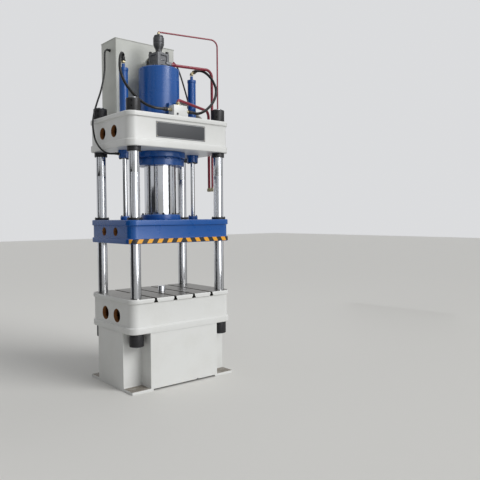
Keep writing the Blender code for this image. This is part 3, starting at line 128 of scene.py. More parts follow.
def surface(name, hex_colour, roughness, metallic=0.0, **constants):
    """A new Principled material, and its tree and shader for patterns to link to."""
    material = bpy.data.materials.new(name)
    material.use_nodes = True
    shader = material.node_tree.nodes["Principled BSDF"]
    shader.inputs["Base Color"].default_value = linear(hex_colour)
    shader.inputs["Roughness"].default_value = roughness
    shader.inputs["Metallic"].default_value = metallic
    for key, value in constants.items():
        shader.inputs[key.replace("_", " ")].default_value = value
    return material, material.node_tree, shader


print("linear mid grey", [round(v, 3) for v in linear("#808080")])

# %% [markdown]
# ## Sprayed machine enamel
# Bed, crown and pedestal are fabricated steel, filled and sprayed with a two-pack enamel: satin, with a
# faint orange peel of about 3 mm and a little workshop dust that gathers in patches. The slide and the
# cylinders have the same enamel in blue. A picture could carry the dust, but noise on Object coordinates
# needs no file and never shows a seam.

# %% Enamel
def enamel(name, hex_colour, dust_colour, roughness, dust=0.25, coat=0.15):
    """Satin sprayed enamel with soft dusty patches and orange peel."""
    material, tree, shader = surface(name, hex_colour, roughness, Coat_Weight=coat, Coat_Roughness=0.2)
    place = node(tree, "ShaderNodeTexCoord").outputs["Object"]
    patches = node(tree, "ShaderNodeTexNoise", {"Vector": place, "Scale": 3.5, "Detail": 6.0, "Roughness": 0.6})
    amount = node(tree, "ShaderNodeMapRange", {"Value": patches.outputs[0], "From Min": 0.45, "From Max": 0.75,
                                              "To Min": 0.0, "To Max": dust})
    mixed = node(tree, "ShaderNodeMix", {0: amount.outputs[0], 6: linear(hex_colour), 7: linear(dust_colour)},
                 data_type="RGBA")
    tree.links.new(mixed.outputs[2], shader.inputs["Base Color"])
    gloss = node(tree, "ShaderNodeMapRange", {"Value": patches.outputs[0], "From Min": 0.3, "From Max": 0.8,
                                             "To Min": roughness - 0.05, "To Max": roughness + 0.12})
    tree.links.new(gloss.outputs[0], shader.inputs["Roughness"])
    skin = node(tree, "ShaderNodeTexNoise", {"Vector": place, "Scale": 330.0, "Detail": 1.0})
    bump = node(tree, "ShaderNodeBump", {"Height": skin.outputs[0], "Strength": 0.05, "Distance": 0.0006})
    tree.links.new(bump.outputs[0], shader.inputs["Normal"])
    return material


white_enamel = enamel("off_white_enamel", "#D9DAD8", "#C2C1BA", 0.38)
blue_enamel = enamel("blue_enamel", "#0D509A", "#23538D", 0.27, dust=0.15, coat=0.0)
tank_enamel = enamel("tank_grey_enamel", "#BFC1BB", "#A9ABA4", 0.5, dust=0.5)
red_enamel = enamel("red_pipe_enamel", "#8A1E33", "#6E1F2C", 0.3, dust=0.5)
print("enamels", [m.name for m in (white_enamel, blue_enamel, tank_enamel, red_enamel)])

# %% [markdown]
# ## Red oxide primer and treated steel
# The insides of the hollow bodies are only primed. Red oxide primer is matt and chalky, with runs and
# thin places, so its colour varies more than the enamel's. Nuts are blackened in a hot salt bath, and the
# valve is phosphated, which is greyer and duller, and darker where it is oiled. All are one blotchy colour.

# %% Primer, blackened, phosphated and plated steel, bronze
def blotchy(name, hex_colour, first, second, roughness, metallic, grain, detail=4.0):
    """A finish whose colour wanders between two, in blotches as wide as the grain, in metres."""
    material, tree, shader = surface(name, hex_colour, roughness, metallic)
    place = node(tree, "ShaderNodeTexCoord").outputs["Object"]
    blotch = node(tree, "ShaderNodeTexNoise", {"Vector": place, "Scale": 1 / grain, "Detail": detail})
    mixed = node(tree, "ShaderNodeMix", {0: blotch.outputs[0], 6: linear(first), 7: linear(second)}, data_type="RGBA")
    tree.links.new(mixed.outputs[2], shader.inputs["Base Color"])
    return material


primer = blotchy("red_oxide_primer", "#8A5A2E", "#6B4020", "#A8723C", 0.8, 0.0, 1 / 14, 5.0)       # runs of 70 mm
black_oxide = blotchy("blackened_steel", "#1E1E20", "#1E1E20", "#343436", 0.42, 0.5, 0.020)
phosphated = blotchy("phosphate_coated_steel", "#58595B", "#58595B", "#7A7B7E", 0.45, 0.6, 0.030)
oiled_phosphate = blotchy("oiled_phosphate_steel", "#434345", "#434345", "#5C5D60", 0.4, 0.6, 0.030)
zinc = blotchy("yellow_zinc_plate", "#A3966F", "#A3966F", "#928D7C", 0.38, 0.9, 0.010)
bronze = blotchy("leaded_bronze", "#A9793B", "#A9793B", "#8C6530", 0.35, 1.0, 0.020)
print("blotchy finishes", [m.name for m in (primer, black_oxide, phosphated, oiled_phosphate, zinc, bronze)])

# %% [markdown]
# ## Ground and milled steel
# The columns and rams are hard chromed and ground, so they mirror the room with a faint drag round the
# axis. The table top is milled: its cutter leaves fine straight marks, and oil has browned it.

# %% Chrome
chrome, tree, shader = surface("ground_hard_chrome", "#C8CACE", 0.1, 1.0)
place = node(tree, "ShaderNodeTexCoord").outputs["Object"]
# grinding lines are 0.3 mm apart: drawn 6 mm apart so that they show
stretched = node(tree, "ShaderNodeMapping", {"Vector": place, "Scale": (2.0, 2.0, 160.0)})
lines = node(tree, "ShaderNodeTexNoise", {"Vector": stretched.outputs[0], "Scale": 1.0, "Detail": 3.0})
gloss = node(tree, "ShaderNodeMapRange", {"Value": lines.outputs[0], "From Min": 0.3, "From Max": 0.7,
                                         "To Min": 0.07, "To Max": 0.17})
tree.links.new(gloss.outputs[0], shader.inputs["Roughness"])
print("chrome roughness from 0.07 to 0.17")

# %% Milled table top
milled_steel, tree, shader = surface("milled_steel", "#726E66", 0.34, 0.85)
place = node(tree, "ShaderNodeTexCoord").outputs["Object"]
# the cutter's marks are 0.5 mm apart: drawn 4 mm apart
stretched = node(tree, "ShaderNodeMapping", {"Vector": place, "Scale": (3.0, 250.0, 3.0)})
marks = node(tree, "ShaderNodeTexNoise", {"Vector": stretched.outputs[0], "Scale": 1.0, "Detail": 2.0})
oil = node(tree, "ShaderNodeTexNoise", {"Vector": place, "Scale": 5.0, "Detail": 5.0})
mixed = node(tree, "ShaderNodeMix", {0: oil.outputs[0], 6: linear("#534E46"), 7: linear("#87847D")}, data_type="RGBA")
tree.links.new(mixed.outputs[2], shader.inputs["Base Color"])
gloss = node(tree, "ShaderNodeMapRange", {"Value": marks.outputs[0], "To Min": 0.18, "To Max": 0.5})
tree.links.new(gloss.outputs[0], shader.inputs["Roughness"])
print("milled steel nodes", len(tree.nodes))

# %% Rubber, hose cover and plate
rubber = surface("black_hose_rubber", "#0A0A0B", 0.3, Specular_IOR_Level=0.35)[0]
grey_hose = surface("grey_hose_cover", "#A39F96", 0.6)[0]
plate_grey = surface("charcoal_plate_enamel", "#34363A", 0.6)[0]
plate_edge = surface("white_plate_border", "#A8AAAC", 0.5)[0]
print("plain finishes", rubber.name, grey_hose.name, plate_grey.name, plate_edge.name)

# %% [markdown]
# ## The free hoses
# Two return hoses run from the tops of the side cylinders to the block on the crown. Two thin drain
# hoses and the wide suction hose start at the fill tank. A hose is stiff and keeps its length, so each is
# one smooth line through a few points that follow the real one, and a curve with a round bevel. A mesh
# tube would need a path beside it to be measured, and a curve is its own path.

# %% A smooth line through the points
def smooth_line(points, step):
    """Read a Catmull-Rom curve through the points off at an even step, with straight ends."""
    points = [Vector(p) for p in points]
    ends = [points[0] * 2 - points[1]] + points + [points[-1] * 2 - points[-2]]
    fine = []
    for a, b, c, d in zip(ends, ends[1:], ends[2:], ends[3:]):
        for i in range(24):
            t = i / 24
            fine.append(0.5 * (2 * b + (c - a) * t + (2 * a - 5 * b + 4 * c - d) * t ** 2
                               + (3 * b - a - 3 * c + d) * t ** 3))
    fine.append(points[-1])
    length = sum((q - p).length for p, q in zip(fine, fine[1:]))
    count = max(2, round(length / step))
    line, walked = [fine[0]], 0.0
    for p, q in zip(fine, fine[1:]):
        run = (q - p).length
        while run > 0 and walked + run >= length / count * len(line) and len(line) < count:
            line.append(p.lerp(q, (length / count * len(line) - walked) / run))
        walked += run
    return line + [fine[-1]]


print("a bend of 2 m is read at", len(smooth_line([(0, 0, 0), (0, 0, 1), (1, 0, 1)], 0.1)), "points")

# %% The fittings between which the hoses run
SIDE_X = 0.445                                        # side cylinders, from the ram's axis
X, UP = Vector((1, 0, 0)), Vector((0, 0, 1))
beam_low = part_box("crown")[0].z
beam_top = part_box("top_nut_front_left")[0].z          # the crown's top face, under the nuts
tank_low, tank_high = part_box("fill_tank")
block_low, block_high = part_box("manifold_block")
neck_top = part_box("side_cylinder_left")[1].z
gland_low, gland_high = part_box("side_gland_left")
left_neck, right_neck = (Vector((x, 0, neck_top)) + MIDDLE for x in (-SIDE_X, SIDE_X))
left_port, right_port = (Vector((x, (block_low.y + block_high.y) / 2, beam_top + 0.080))
                         for x in (block_low.x, block_high.x))
gland_port = Vector((gland_low.x, MIDDLE.y, (gland_low.z + gland_high.z) / 2))
drain_boss = Vector((0.505, 0.105, beam_top)) + MIDDLE
drain_port = Vector((tank_low.x, 0.410 + MIDDLE.y, beam_top + 0.815))
vent_port = Vector((tank_high.x, 0.330 + MIDDLE.y, beam_top + 0.785))
suction_port = Vector((tank_high.x, 0.470 + MIDDLE.y, beam_top + 0.425))
bracket_port = Vector((0.700, 0.100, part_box("pipe_bracket")[1].z)) + MIDDLE
elbow_way = Vector((math.sin(math.radians(60)), 0, 0.5))
elbow = right_neck + elbow_way * 0.0353
print("the tank's ports are", [round(p.z - beam_top, 3) for p in (drain_port, vent_port, suction_port)], "m up")

# %% Where the hoses run
# diameter, start, way out, points above the crown as read along the photographed hoses, end, way out
routes = {
    "return_hose_left": (
        0.030, left_neck, UP,
        [(-0.451, -0.010, 0.672), (-0.478, -0.031, 0.676), (-0.505, -0.052, 0.640), (-0.519, -0.066, 0.596),
         (-0.533, -0.085, 0.527), (-0.535, -0.100, 0.472), (-0.531, -0.120, 0.417), (-0.516, -0.145, 0.352),
         (-0.492, -0.170, 0.295), (-0.433, -0.220, 0.201), (-0.346, -0.272, 0.118), (-0.251, -0.315, 0.082)],
        left_port, -X),
    "return_hose_right": (
        0.030, right_port, X,
        [(0.271, -0.325, 0.075), (0.337, -0.310, 0.089), (0.408, -0.290, 0.120), (0.483, -0.265, 0.167),
         (0.560, -0.240, 0.231), (0.628, -0.210, 0.313), (0.665, -0.182, 0.405), (0.670, -0.155, 0.470),
         (0.658, -0.123, 0.536), (0.634, -0.088, 0.591), (0.603, -0.050, 0.633), (0.566, -0.018, 0.653)],
        elbow, elbow_way),
    "drain_hose_left": (
        0.020, drain_port, -X,
        [(-0.452, 0.409, 0.785), (-0.460, 0.402, 0.715), (-0.463, 0.395, 0.650), (-0.473, 0.381, 0.580),
         (-0.497, 0.359, 0.483), (-0.550, 0.328, 0.324), (-0.600, 0.306, 0.209), (-0.645, 0.293, 0.088),
         (-0.670, 0.281, -0.010), (-0.682, 0.262, -0.090), (-0.684, 0.223, -0.202), (-0.684, 0.189, -0.254),
         (-0.682, 0.135, -0.307), (-0.672, 0.075, -0.355), (-0.648, 0.025, -0.388), (-0.612, 0.000, -0.397)],
        gland_port, -X),
    "drain_hose_right": (
        0.020, vent_port, X,
        [(0.452, 0.315, 0.752), (0.465, 0.290, 0.690), (0.480, 0.260, 0.600), (0.495, 0.230, 0.494),
         (0.504, 0.190, 0.380), (0.509, 0.150, 0.262), (0.508, 0.125, 0.163)],
        drain_boss + UP * 0.030, UP),
    "suction_hose": (
        0.048, suction_port, X,
        [(0.500, 0.430, 0.393), (0.560, 0.350, 0.330), (0.615, 0.265, 0.255), (0.655, 0.190, 0.165),
         (0.685, 0.130, 0.093)],
        bracket_port, UP),
}
STRAIGHT = 0.045                                      # what a hose runs straight from its fitting
print("hoses of", [round(route[0] * 1000) for route in routes.values()], "mm")

# %% The hoses
def path_object(paths, name="path"):
    """A curve object with one line for each list of points."""
    curve = bpy.data.curves.new(name, "CURVE")
    curve.dimensions = "3D"
    for points in paths:
        spline = curve.splines.new("POLY")
        spline.points.add(len(points) - 1)
        for point, place in zip(spline.points, points):
            point.co = (*place, 1)
    return put(name, curve)


lines = {}
for name, (diameter, start, start_way, between, end, end_way) in routes.items():
    measured = [Vector((x, y, z + beam_top)) + MIDDLE for x, y, z in between]
    line = smooth_line([start, start + start_way.normalized() * STRAIGHT] + measured
                       + [end + end_way.normalized() * STRAIGHT, end], 0.022)
    hose = path_object([line], name + "_cover")
    hose.data.bevel_depth = diameter / 2
    hose.data.bevel_resolution = 4
    hose.data.use_fill_caps = True
    hose.data.splines[0].use_smooth = True
    hose.data.materials.append(grey_hose if name == "suction_hose" else rubber)
    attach(hose, "frame")
    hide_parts(name)
    length = sum((q - p).length for p, q in zip(line, line[1:]))
    lines[name] = (hose, line, length, diameter)
    print(name, "is", round(length, 3), "m long")

# %% [markdown]
# ## Turned pieces
# Columns, nuts, glands and cylinders come off a lathe, so each is an outline of radius and height spun
# round an axis. The Spin operator and the Screw modifier do that too. A short loop that stacks rings of
# points leaves full control of how many sides a piece has, and its faces can be turned outwards at once.

# %% Spin an outline
def mesh_of(shape, outwards=True):
    """Turn a BMesh into a mesh, with its faces outwards."""
    if outwards:
        bmesh.ops.recalc_face_normals(shape, faces=shape.faces)
    mesh = bpy.data.meshes.new("made")
    shape.to_mesh(mesh)
    shape.free()
    return mesh


def turned(outline, sides=64, hollow=False):
    """A mesh spun from (radius, height) points. A hollow outline closes on itself."""
    shape = bmesh.new()
    rings = [[shape.verts.new((r * math.cos(2 * math.pi * i / sides), r * math.sin(2 * math.pi * i / sides), h))
              for i in range(sides)] for r, h in outline]
    for low, high in list(zip(rings, rings[1:])) + ([(rings[-1], rings[0])] if hollow else []):
        for i in range(sides):
            j = (i + 1) % sides
            shape.faces.new((low[i], low[j], high[j], high[i]))
    if not hollow:
        shape.faces.new(rings[0])
        shape.faces.new(rings[-1])
    return mesh_of(shape)


def eased(outline, size, steps=3):
    """Round the corners of an outline by a radius, where there is room."""
    points = [Vector(p) for p in outline]
    result = [points[0]]
    for before, corner, after in zip(points, points[1:], points[2:]):
        into, out = (corner - before), (after - corner)
        back = min(size, into.length * 0.45, out.length * 0.45)
        start, end = corner - into.normalized() * back, corner + out.normalized() * back
        for i in range(steps + 1):
            t = i / steps
            result.append(start * (1 - t) ** 2 + corner * 2 * t * (1 - t) + end * t ** 2)
    return [tuple(p) for p in result + [points[-1]]]


print("a corner is eased with", len(eased([(0.1, 0), (0.1, 0.2), (0, 0.2)], 0.01)) - 2, "points")


def moved(mesh, x=0.0, y=0.0, z=0.0):
    mesh.transform(Matrix.Translation((x, y, z)))
    return mesh


def show(name, mesh, material, stands_for=(), body="frame", angle=35, shift=MIDDLE, own=False):
    """Finish a mesh drawn round the press's axis: place, material, smooth faces, body, and its CAD nodes.

    A piece that is own keeps the materials that its mesh has, and material is then not used.
    """
    piece = put(name, moved(mesh, *shift))
    if not own:
        mesh.materials.clear()
        mesh.materials.append(material)
    mesh.shade_smooth()
    mesh.set_sharp_from_angle(angle=math.radians(angle))
    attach(piece, body)
    if stands_for:
        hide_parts(*stands_for)
    print(name, len(mesh.polygons), "faces")
    return piece


# %% [markdown]
# ## One tree for what stands at the four columns
# Columns, nuts, bushes and covers repeat at the four corners, and the side cylinders at two places. One
# geometry tree sets a drawn piece on a grid of points and makes it real. Copying objects by hand would
# do it as well, but the tree keeps the spacing in one place and gives one mesh for each body.

# %% How every tree begins, ends and runs
def new_tree(name, **inputs):
    """A geometry tree with named inputs, and the sockets that carry them."""
    tree = bpy.data.node_groups.new(name, "GeometryNodeTree")
    for label, kind in inputs.items():
        tree.interface.new_socket(label.replace("_", " "), in_out="INPUT", socket_type="NodeSocket" + kind)
    tree.interface.new_socket("Geometry", in_out="OUTPUT", socket_type="NodeSocketGeometry")
    return tree, node(tree, "NodeGroupInput").outputs


def end_tree(tree, geometry, material):
    """Make the geometry real, paint it and give it out."""
    real = node(tree, "GeometryNodeRealizeInstances", {0: geometry})
    painted = node(tree, "GeometryNodeSetMaterial", {"Geometry": real.outputs[0], "Material": material})
    node(tree, "NodeGroupOutput", {0: painted.outputs[0]})
    print("the tree", tree.name, "has", len(tree.nodes), "nodes")


def finished(piece):
    """The plain mesh of an object with its modifiers."""
    return bpy.data.meshes.new_from_object(piece.evaluated_get(bpy.context.evaluated_depsgraph_get()))


def grow(tree, drawn, **values):
    """Run a tree on an empty host and keep its result as a plain mesh. Drawn is its object input."""
    host = put("host", bpy.data.meshes.new("host"))
    change = host.modifiers.new("grow", "NODES")
    change.node_group = tree
    for item in tree.interface.items_tree:
        if item.in_out == "INPUT":
            given = item.socket_type == "NodeSocketObject"
            change[item.identifier] = drawn if given else values[item.name.replace(" ", "_")]
    mesh = finished(host)
    host.modifiers.clear()
    for old in (host, drawn):
        bpy.data.objects.remove(old)
    return mesh

# %% The grid tree
grid_tree, given = new_tree("set at columns", Piece="Object", Spacing_X="Float", Spacing_Y="Float", Count_Y="Int",
                            Material="Material")
grid = node(grid_tree, "GeometryNodeMeshGrid", {"Size X": given["Spacing X"], "Size Y": given["Spacing Y"],
                                              "Vertices X": 2, "Vertices Y": given["Count Y"]})
drawn = node(grid_tree, "GeometryNodeObjectInfo", {"Object": given["Piece"]})
copies = node(grid_tree, "GeometryNodeInstanceOnPoints", {"Points": grid.outputs["Mesh"],
                                                         "Instance": drawn.outputs["Geometry"]})
end_tree(grid_tree, copies.outputs[0], given["Material"])

CORNERS, SIDES = ("front_left", "front_right", "rear_left", "rear_right"), ("left", "right")
COLUMN_X, COLUMN_Y = 0.540, 0.370


def set_out(name, mesh, material, node_name, body="frame", places=CORNERS):
    """Set a piece, drawn round its own axis, at the four columns or at the two side cylinders."""
    x, y, rows = (COLUMN_X, COLUMN_Y, 2) if places == CORNERS else (SIDE_X, 0.0, 1)
    mesh = grow(grid_tree, put("drawn", mesh), Spacing_X=2 * x, Spacing_Y=2 * y, Count_Y=rows, Material=material)
    return show(name, mesh, material, [node_name + "_" + place for place in places], body)

# %% [markdown]
# ## Columns and their nuts
# Each column has a shoulder on the table and another under the crown, and shows a short threaded end past
# its nuts. Halfway up, a shallow ring marks where the grinding passes meet. The top nuts have two rows of
# blind holes for a pin spanner. A Boolean drills them, because they are few and their rims must be crisp.

# %% Columns
SEAT = 0.0003                                         # what two faces that touch are kept apart
table_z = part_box("table_beam")[1].z
column_low, column_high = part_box("column_front_left")
ring_z = 2.262
outline = [(0.047, column_low.z), (0.050, column_low.z + 0.003), (0.050, table_z + SEAT), (0.055, table_z + SEAT),
           (0.055, ring_z - 0.0015), (0.0546, ring_z), (0.055, ring_z + 0.0015), (0.055, beam_low - SEAT),
           (0.050, beam_low - SEAT), (0.050, column_high.z - 0.003), (0.047, column_high.z)]
columns = set_out("columns", turned(outline, 72), chrome, "column")
columns.data.materials.append(black_oxide)
for face in columns.data.polygons:
    face.material_index = 1 if face.center.z > beam_top else 0

# %% Drill, cut and join
def spun(mesh, degrees, axis="Z"):
    mesh.transform(Matrix.Rotation(math.radians(degrees), 4, axis))
    return mesh


def carve(mesh, cutters, operation="DIFFERENCE"):
    """Cut meshes out of a mesh, or join them to it, with exact Booleans."""
    work, tools = put("work", mesh), [put("tool", cutter) for cutter in cutters]
    for tool in tools:
        change = work.modifiers.new("cut", "BOOLEAN")
        change.operation = operation
        change.solver = "EXACT"
        change.object = tool
        change.material_mode = "TRANSFER"
    made = finished(work)
    for old in [work] + tools:
        bpy.data.objects.remove(old)
    return made


def rod(radius, low, high, sides=32, lean=None):
    """A plain round bar, upright or along X or Y."""
    mesh = turned([(radius, low), (radius, high)], sides)
    if lean:
        spun(mesh, *((90, "Y") if lean == "X" else (-90, "X")))
    return mesh


def pipe(outline, size, sides, steps=3):
    """A bored piece: its outline runs round the wall's section."""
    return turned(eased(outline, size, steps), sides, hollow=True)


def ring(inner, outer, low, high, easing=0.004, sides=64):
    """A turned ring with eased outer edges."""
    return pipe([(inner, low), (outer, low), (outer, high), (inner, high)], easing, sides)


sample = rod(0.010, 0, 0.100)
print("a plain rod has", len(sample.polygons), "faces")
bpy.data.meshes.remove(sample)

# %% Top nuts
nut_low, nut_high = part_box("top_nut_front_left")
nut = ring(0.0503, 0.075, nut_low.z, nut_high.z, 0.008)
holes = [moved(spun(rod(0.009, 0.061, 0.085, 20, "X"), 45 + 90 * turn), 0, 0,
               nut_low.z + (nut_high.z - nut_low.z) * part) for part in (0.36, 0.76) for turn in range(4)]
set_out("top_nuts", carve(nut, holes), black_oxide, "top_nut")

# %% Bottom nuts, adjusting nuts, guide bushes and wiper covers
for name, label, inner, outer, material, body in (
        ("bottom_nuts", "bottom_nut", 0.0503, 0.075, black_oxide, "frame"),
        ("adjusting_nuts", "adjusting_nut", 0.0553, 0.070, black_oxide, "frame"),
        ("guide_bushes", "guide_bush", 0.0554, 0.070, bronze, "slide"),
        ("wiper_covers", "wiper_cover", 0.0554, 0.078, black_oxide, "slide")):
    low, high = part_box(label + "_front_left")
    set_out(name, ring(inner, outer, low.z, high.z, 0.003), material, label, body)

# %% [markdown]
# ## Flanged castings
# Bed, slide and crown share one outline: a rectangle with round corners, set-back webs, and a flange at
# top and foot. A geometry tree rounds the rectangle's corners and sweeps the wall's section along it, so
# one tree makes all three from their sizes. Extruding and insetting faces by hand would give one of them.

# %% The casting tree
casting_tree, given = new_tree("flanged casting", Width="Float", Depth="Float", Corner_Radius="Float",
                               Section="Object", Material="Material")
plan = node(casting_tree, "GeometryNodeCurvePrimitiveQuadrilateral", {"Width": given["Width"],
                                                                     "Height": given["Depth"]})
rounded = node(casting_tree, "GeometryNodeFilletCurve", {"Curve": plan.outputs[0], "Count": 12,
                                                        "Radius": given["Corner Radius"]}, mode="POLY")
section = node(casting_tree, "GeometryNodeObjectInfo", {"Object": given["Section"]})
wall = node(casting_tree, "GeometryNodeCurveToMesh", {"Curve": rounded.outputs[0],
                                                     "Profile Curve": section.outputs["Geometry"]})
end_tree(casting_tree, wall.outputs[0], given["Material"])

PLAN_X, PLAN_Y = 1.300, 0.930
CORNER_RADIUS, WEB_INSET, FLANGE_SLOPE = 0.100, 0.015, 0.005
WALL = 0.040


def coloured(mesh, material):
    mesh.materials.clear()
    mesh.materials.append(material)
    return mesh


def casting(low, high, foot_flange, top_flange, material):
    """The outer form of one casting, closed at top and bottom."""
    points = eased([(-0.0075, high), (-0.006, high), (0, high - 0.006), (0, high - top_flange + FLANGE_SLOPE),
                    (-WEB_INSET, high - top_flange), (-WEB_INSET, low + foot_flange),
                    (0, low + foot_flange - FLANGE_SLOPE), (0, low + 0.006), (-0.006, low), (-0.0075, low)], 0.004)
    mesh = grow(casting_tree, path_object([[(x, -z, 0) for x, z in points]]), Width=PLAN_X, Depth=PLAN_Y,
                Corner_Radius=CORNER_RADIUS, Material=material)
    shape = bmesh.new()
    shape.from_mesh(mesh)
    bmesh.ops.holes_fill(shape, edges=[edge for edge in shape.edges if edge.is_boundary])
    return coloured(mesh_of(shape), material)

# %% [markdown]
# The castings are hollow weldments with tubes round their bores, and round holes in the end walls let
# one look in. The hollow, the bores and the slots are cut with exact Booleans: each cutter carries the
# material that the cut face should show, primer inside the holes and bare steel where a tool has been.

# %% Hollow, holes and bores
COLUMNS = [(COLUMN_X * sx, COLUMN_Y * sy) for sx in (-1, 1) for sy in (-1, 1)]
AXIS = [(0, 0)]
PAST = 0.01                                           # what a cutter reaches past the faces it cuts


def slab(half_x, half_y, radius, low, high):
    """An upright prism with round corners."""
    shape = bmesh.new()
    plan = [(sx * (half_x - radius) + radius * math.cos(math.pi / 2 * (quarter + step / 8)),
             sy * (half_y - radius) + radius * math.sin(math.pi / 2 * (quarter + step / 8)))
            for quarter, (sx, sy) in enumerate(((1, 1), (-1, 1), (-1, -1), (1, -1))) for step in range(9)]
    foot, head = ([shape.verts.new((x, y, z)) for x, y in plan] for z in (low, high))
    for i in range(-1, len(plan) - 1):
        shape.faces.new((foot[i], foot[i + 1], head[i + 1], head[i]))
    shape.faces.new(foot)
    shape.faces.new(head)
    return mesh_of(shape)


def inside(low, high, tubes):
    """The hollow of a casting, less the tubes round its bores."""
    hollow = slab(PLAN_X / 2 - WEB_INSET - WALL, PLAN_Y / 2 - WEB_INSET - WALL, 0.045, low, high)
    pipes = [coloured(moved(rod(r, low - PAST, high + PAST, 40), x, y), primer) for x, y, r in tubes]
    return carve(coloured(hollow, primer), pipes)


def end_holes(diameter, height):
    """The cutters for two holes in each end wall."""
    near, far = PLAN_X / 2 - WEB_INSET - WALL - PAST, PLAN_X / 2 + PAST
    return [coloured(moved(rod(diameter / 2, low, high, 56, "X"), 0, y, height), primer)
            for low, high in ((-far, -near), (near, far)) for y in (-0.128, 0.128)]


def bores(places, radius, low, high):
    return [coloured(moved(rod(radius, low, high, 72), x, y), milled_steel) for x, y in places]


print("the columns' bores are at", COLUMNS)

# %% A casting from its sizes
def weldment(low, high, flanges, plates, tubes, hole, bored, paint, others=()):
    """A casting with its hollow between two plates, its end holes, and its bores from top to foot."""
    floor, roof = low + plates[0], high - plates[1]
    cutters = [inside(floor, roof, tubes)] + end_holes(hole, (floor + roof) / 2)
    for places, radius in bored:
        cutters += bores(places, radius, low - PAST, high + PAST)
    return carve(casting(low, high, *flanges, paint), cutters + list(others))


def machine(mesh, height, way):
    """Give the faces at one height that look up or down the milled finish."""
    milled = [m.name for m in mesh.materials].index(milled_steel.name)
    for face in mesh.polygons:
        if abs(face.center.z - height) < 0.0005 and face.normal.z * way > 0.9:
            face.material_index = milled
    return mesh


print("a wall is", WALL * 1000, "mm thick behind a web set back by", WEB_INSET * 1000)

# %% Bed
def block(low, high):
    """A plain rectangular block between two corners."""
    low, high = Vector(map(min, low, high)), Vector(map(max, low, high))
    shape = bmesh.new()
    bmesh.ops.create_cube(shape, size=1, matrix=Matrix.Translation((low + high) / 2)
                          @ Matrix.Diagonal((high - low).to_4d()))
    return mesh_of(shape, outwards=False)


bed_low, bed_high = (corner.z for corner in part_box("table_beam"))
slots = []
for i in range(4):
    x = (i - 1.5) * 0.240
    slots += [block((x - 0.014, -0.5, bed_high - 0.030), (x + 0.014, 0.5, bed_high + PAST)),
              block((x - 0.023, -0.5, bed_high - 0.045), (x + 0.023, 0.5, bed_high - 0.026))]
bed = weldment(bed_low, bed_high, (0.069, 0.048), (0.060, 0.086),
               [(x, y, 0.095) for x, y in COLUMNS] + [(0, 0, 0.080)], 0.145,
               [(COLUMNS, 0.0503), (AXIS, 0.0404)], white_enamel,
               [coloured(slot, milled_steel) for slot in slots])
show("bed", machine(bed, bed_high, 1), white_enamel, ["table_beam"], own=True)

# %% Crown
crown = weldment(beam_low, beam_top - SEAT, (0.072, 0.052), (0.055, 0.055),
                 [(x, y, 0.095) for x, y in COLUMNS] + [(0, 0, 0.265), (-SIDE_X, 0, 0.075), (SIDE_X, 0, 0.075)], 0.128,
                 [(COLUMNS, 0.0503), (AXIS, 0.2253), ([(-SIDE_X, 0), (SIDE_X, 0)], 0.0473)], white_enamel)
show("crown_weldment", crown, white_enamel, ["crown"], own=True)

# %% Slide
slide_low, slide_high = (corner.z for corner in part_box("slide"))
slide = weldment(slide_low, slide_high, (0.055, 0.061), (0.050, 0.050),
                 [(x, y, 0.090) for x, y in COLUMNS] + [(0, 0, 0.180)], 0.092, [(COLUMNS, 0.0703)], blue_enamel,
                 bores(AXIS, 0.030, slide_low - PAST, slide_low + 0.040))
show("slide_weldment", machine(slide, slide_low, -1), blue_enamel, ["slide"], "slide", own=True)

# %% [markdown]
# ## The working cylinder
# The barrel is one forging with a flange that bears on the crown's underside and a lock nut above. Its
# port boss carries the manifold block. Below hangs the gland, whose screws pull the packing tight. These
# are the pieces closest to the eye under the crown, so their steps follow the real ones.

# %% Main cylinder
cylinder_low, cylinder_high = (corner.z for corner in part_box("main_cylinder"))
barrel_top = cylinder_high - 0.028                    # the valve's base sinks into the end of the barrel
barrel = pipe([(0.190, cylinder_low), (0.2865, cylinder_low), (0.2865, beam_low - SEAT), (0.225, beam_low - SEAT),
               (0.225, barrel_top), (0.050, barrel_top), (0.050, cylinder_high - 0.075),
               (0.190, cylinder_high - 0.075)], 0.014, 128, 5)
boss_rear = block_high.y - MIDDLE.y
boss = slab(0.050, (-0.205 - boss_rear) / 2, 0.008, beam_top + 0.062, beam_top + 0.165)
moved(boss, 0, (-0.205 + boss_rear) / 2 + SEAT)
show("main_cylinder_barrel", carve(barrel, [boss], "UNION"), blue_enamel, ["main_cylinder"])

# %% Lock nut, gland, ram and ram flange
def solid(outline, size, sides, steps=3):
    """A piece without a bore: its outline is led to the axis at both ends."""
    outline = [(0.0001, outline[0][1])] + outline + [(0.0001, outline[-1][1])]
    return turned(eased(outline, size, steps), sides)


lock_low, lock_high = (corner.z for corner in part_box("cylinder_lock_nut"))
slots = [spun(block((0.255, -0.012, lock_low + 0.012), (0.290, 0.012, lock_high + PAST)), 22.5 + 45 * i)
         for i in range(8)]
show("lock_nut", carve(ring(0.2253, 0.270, lock_low, lock_high, 0.007, 96), slots), blue_enamel, ["cylinder_lock_nut"])

plate_low, plate_high = (corner.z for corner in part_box("gland_flange"))
gland = [(0.1804, plate_low), (0.269, plate_low), (0.269, plate_high - 0.016), (0.256, plate_high - 0.014),
         (0.257, plate_high), (0.2003, plate_high), (0.2003, plate_low + 0.020), (0.1804, plate_low + 0.020)]
show("gland", pipe(gland, 0.004, 112), blue_enamel, ["gland_flange"])

show("ram", solid([(0.180, ram_low.z), (0.180, ram_high.z)], 0.004, 144), chrome, ["main_ram"], "slide")
flange_low, flange_high = (corner.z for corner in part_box("ram_flange"))
collar = [(0.1803, flange_low), (0.2225, flange_low), (0.2225, flange_high - 0.006), (0.2165, flange_high),
          (0.1803, flange_high)]
show("ram_collar", pipe(collar, 0.003, 96), blue_enamel, ["ram_flange"], "slide")

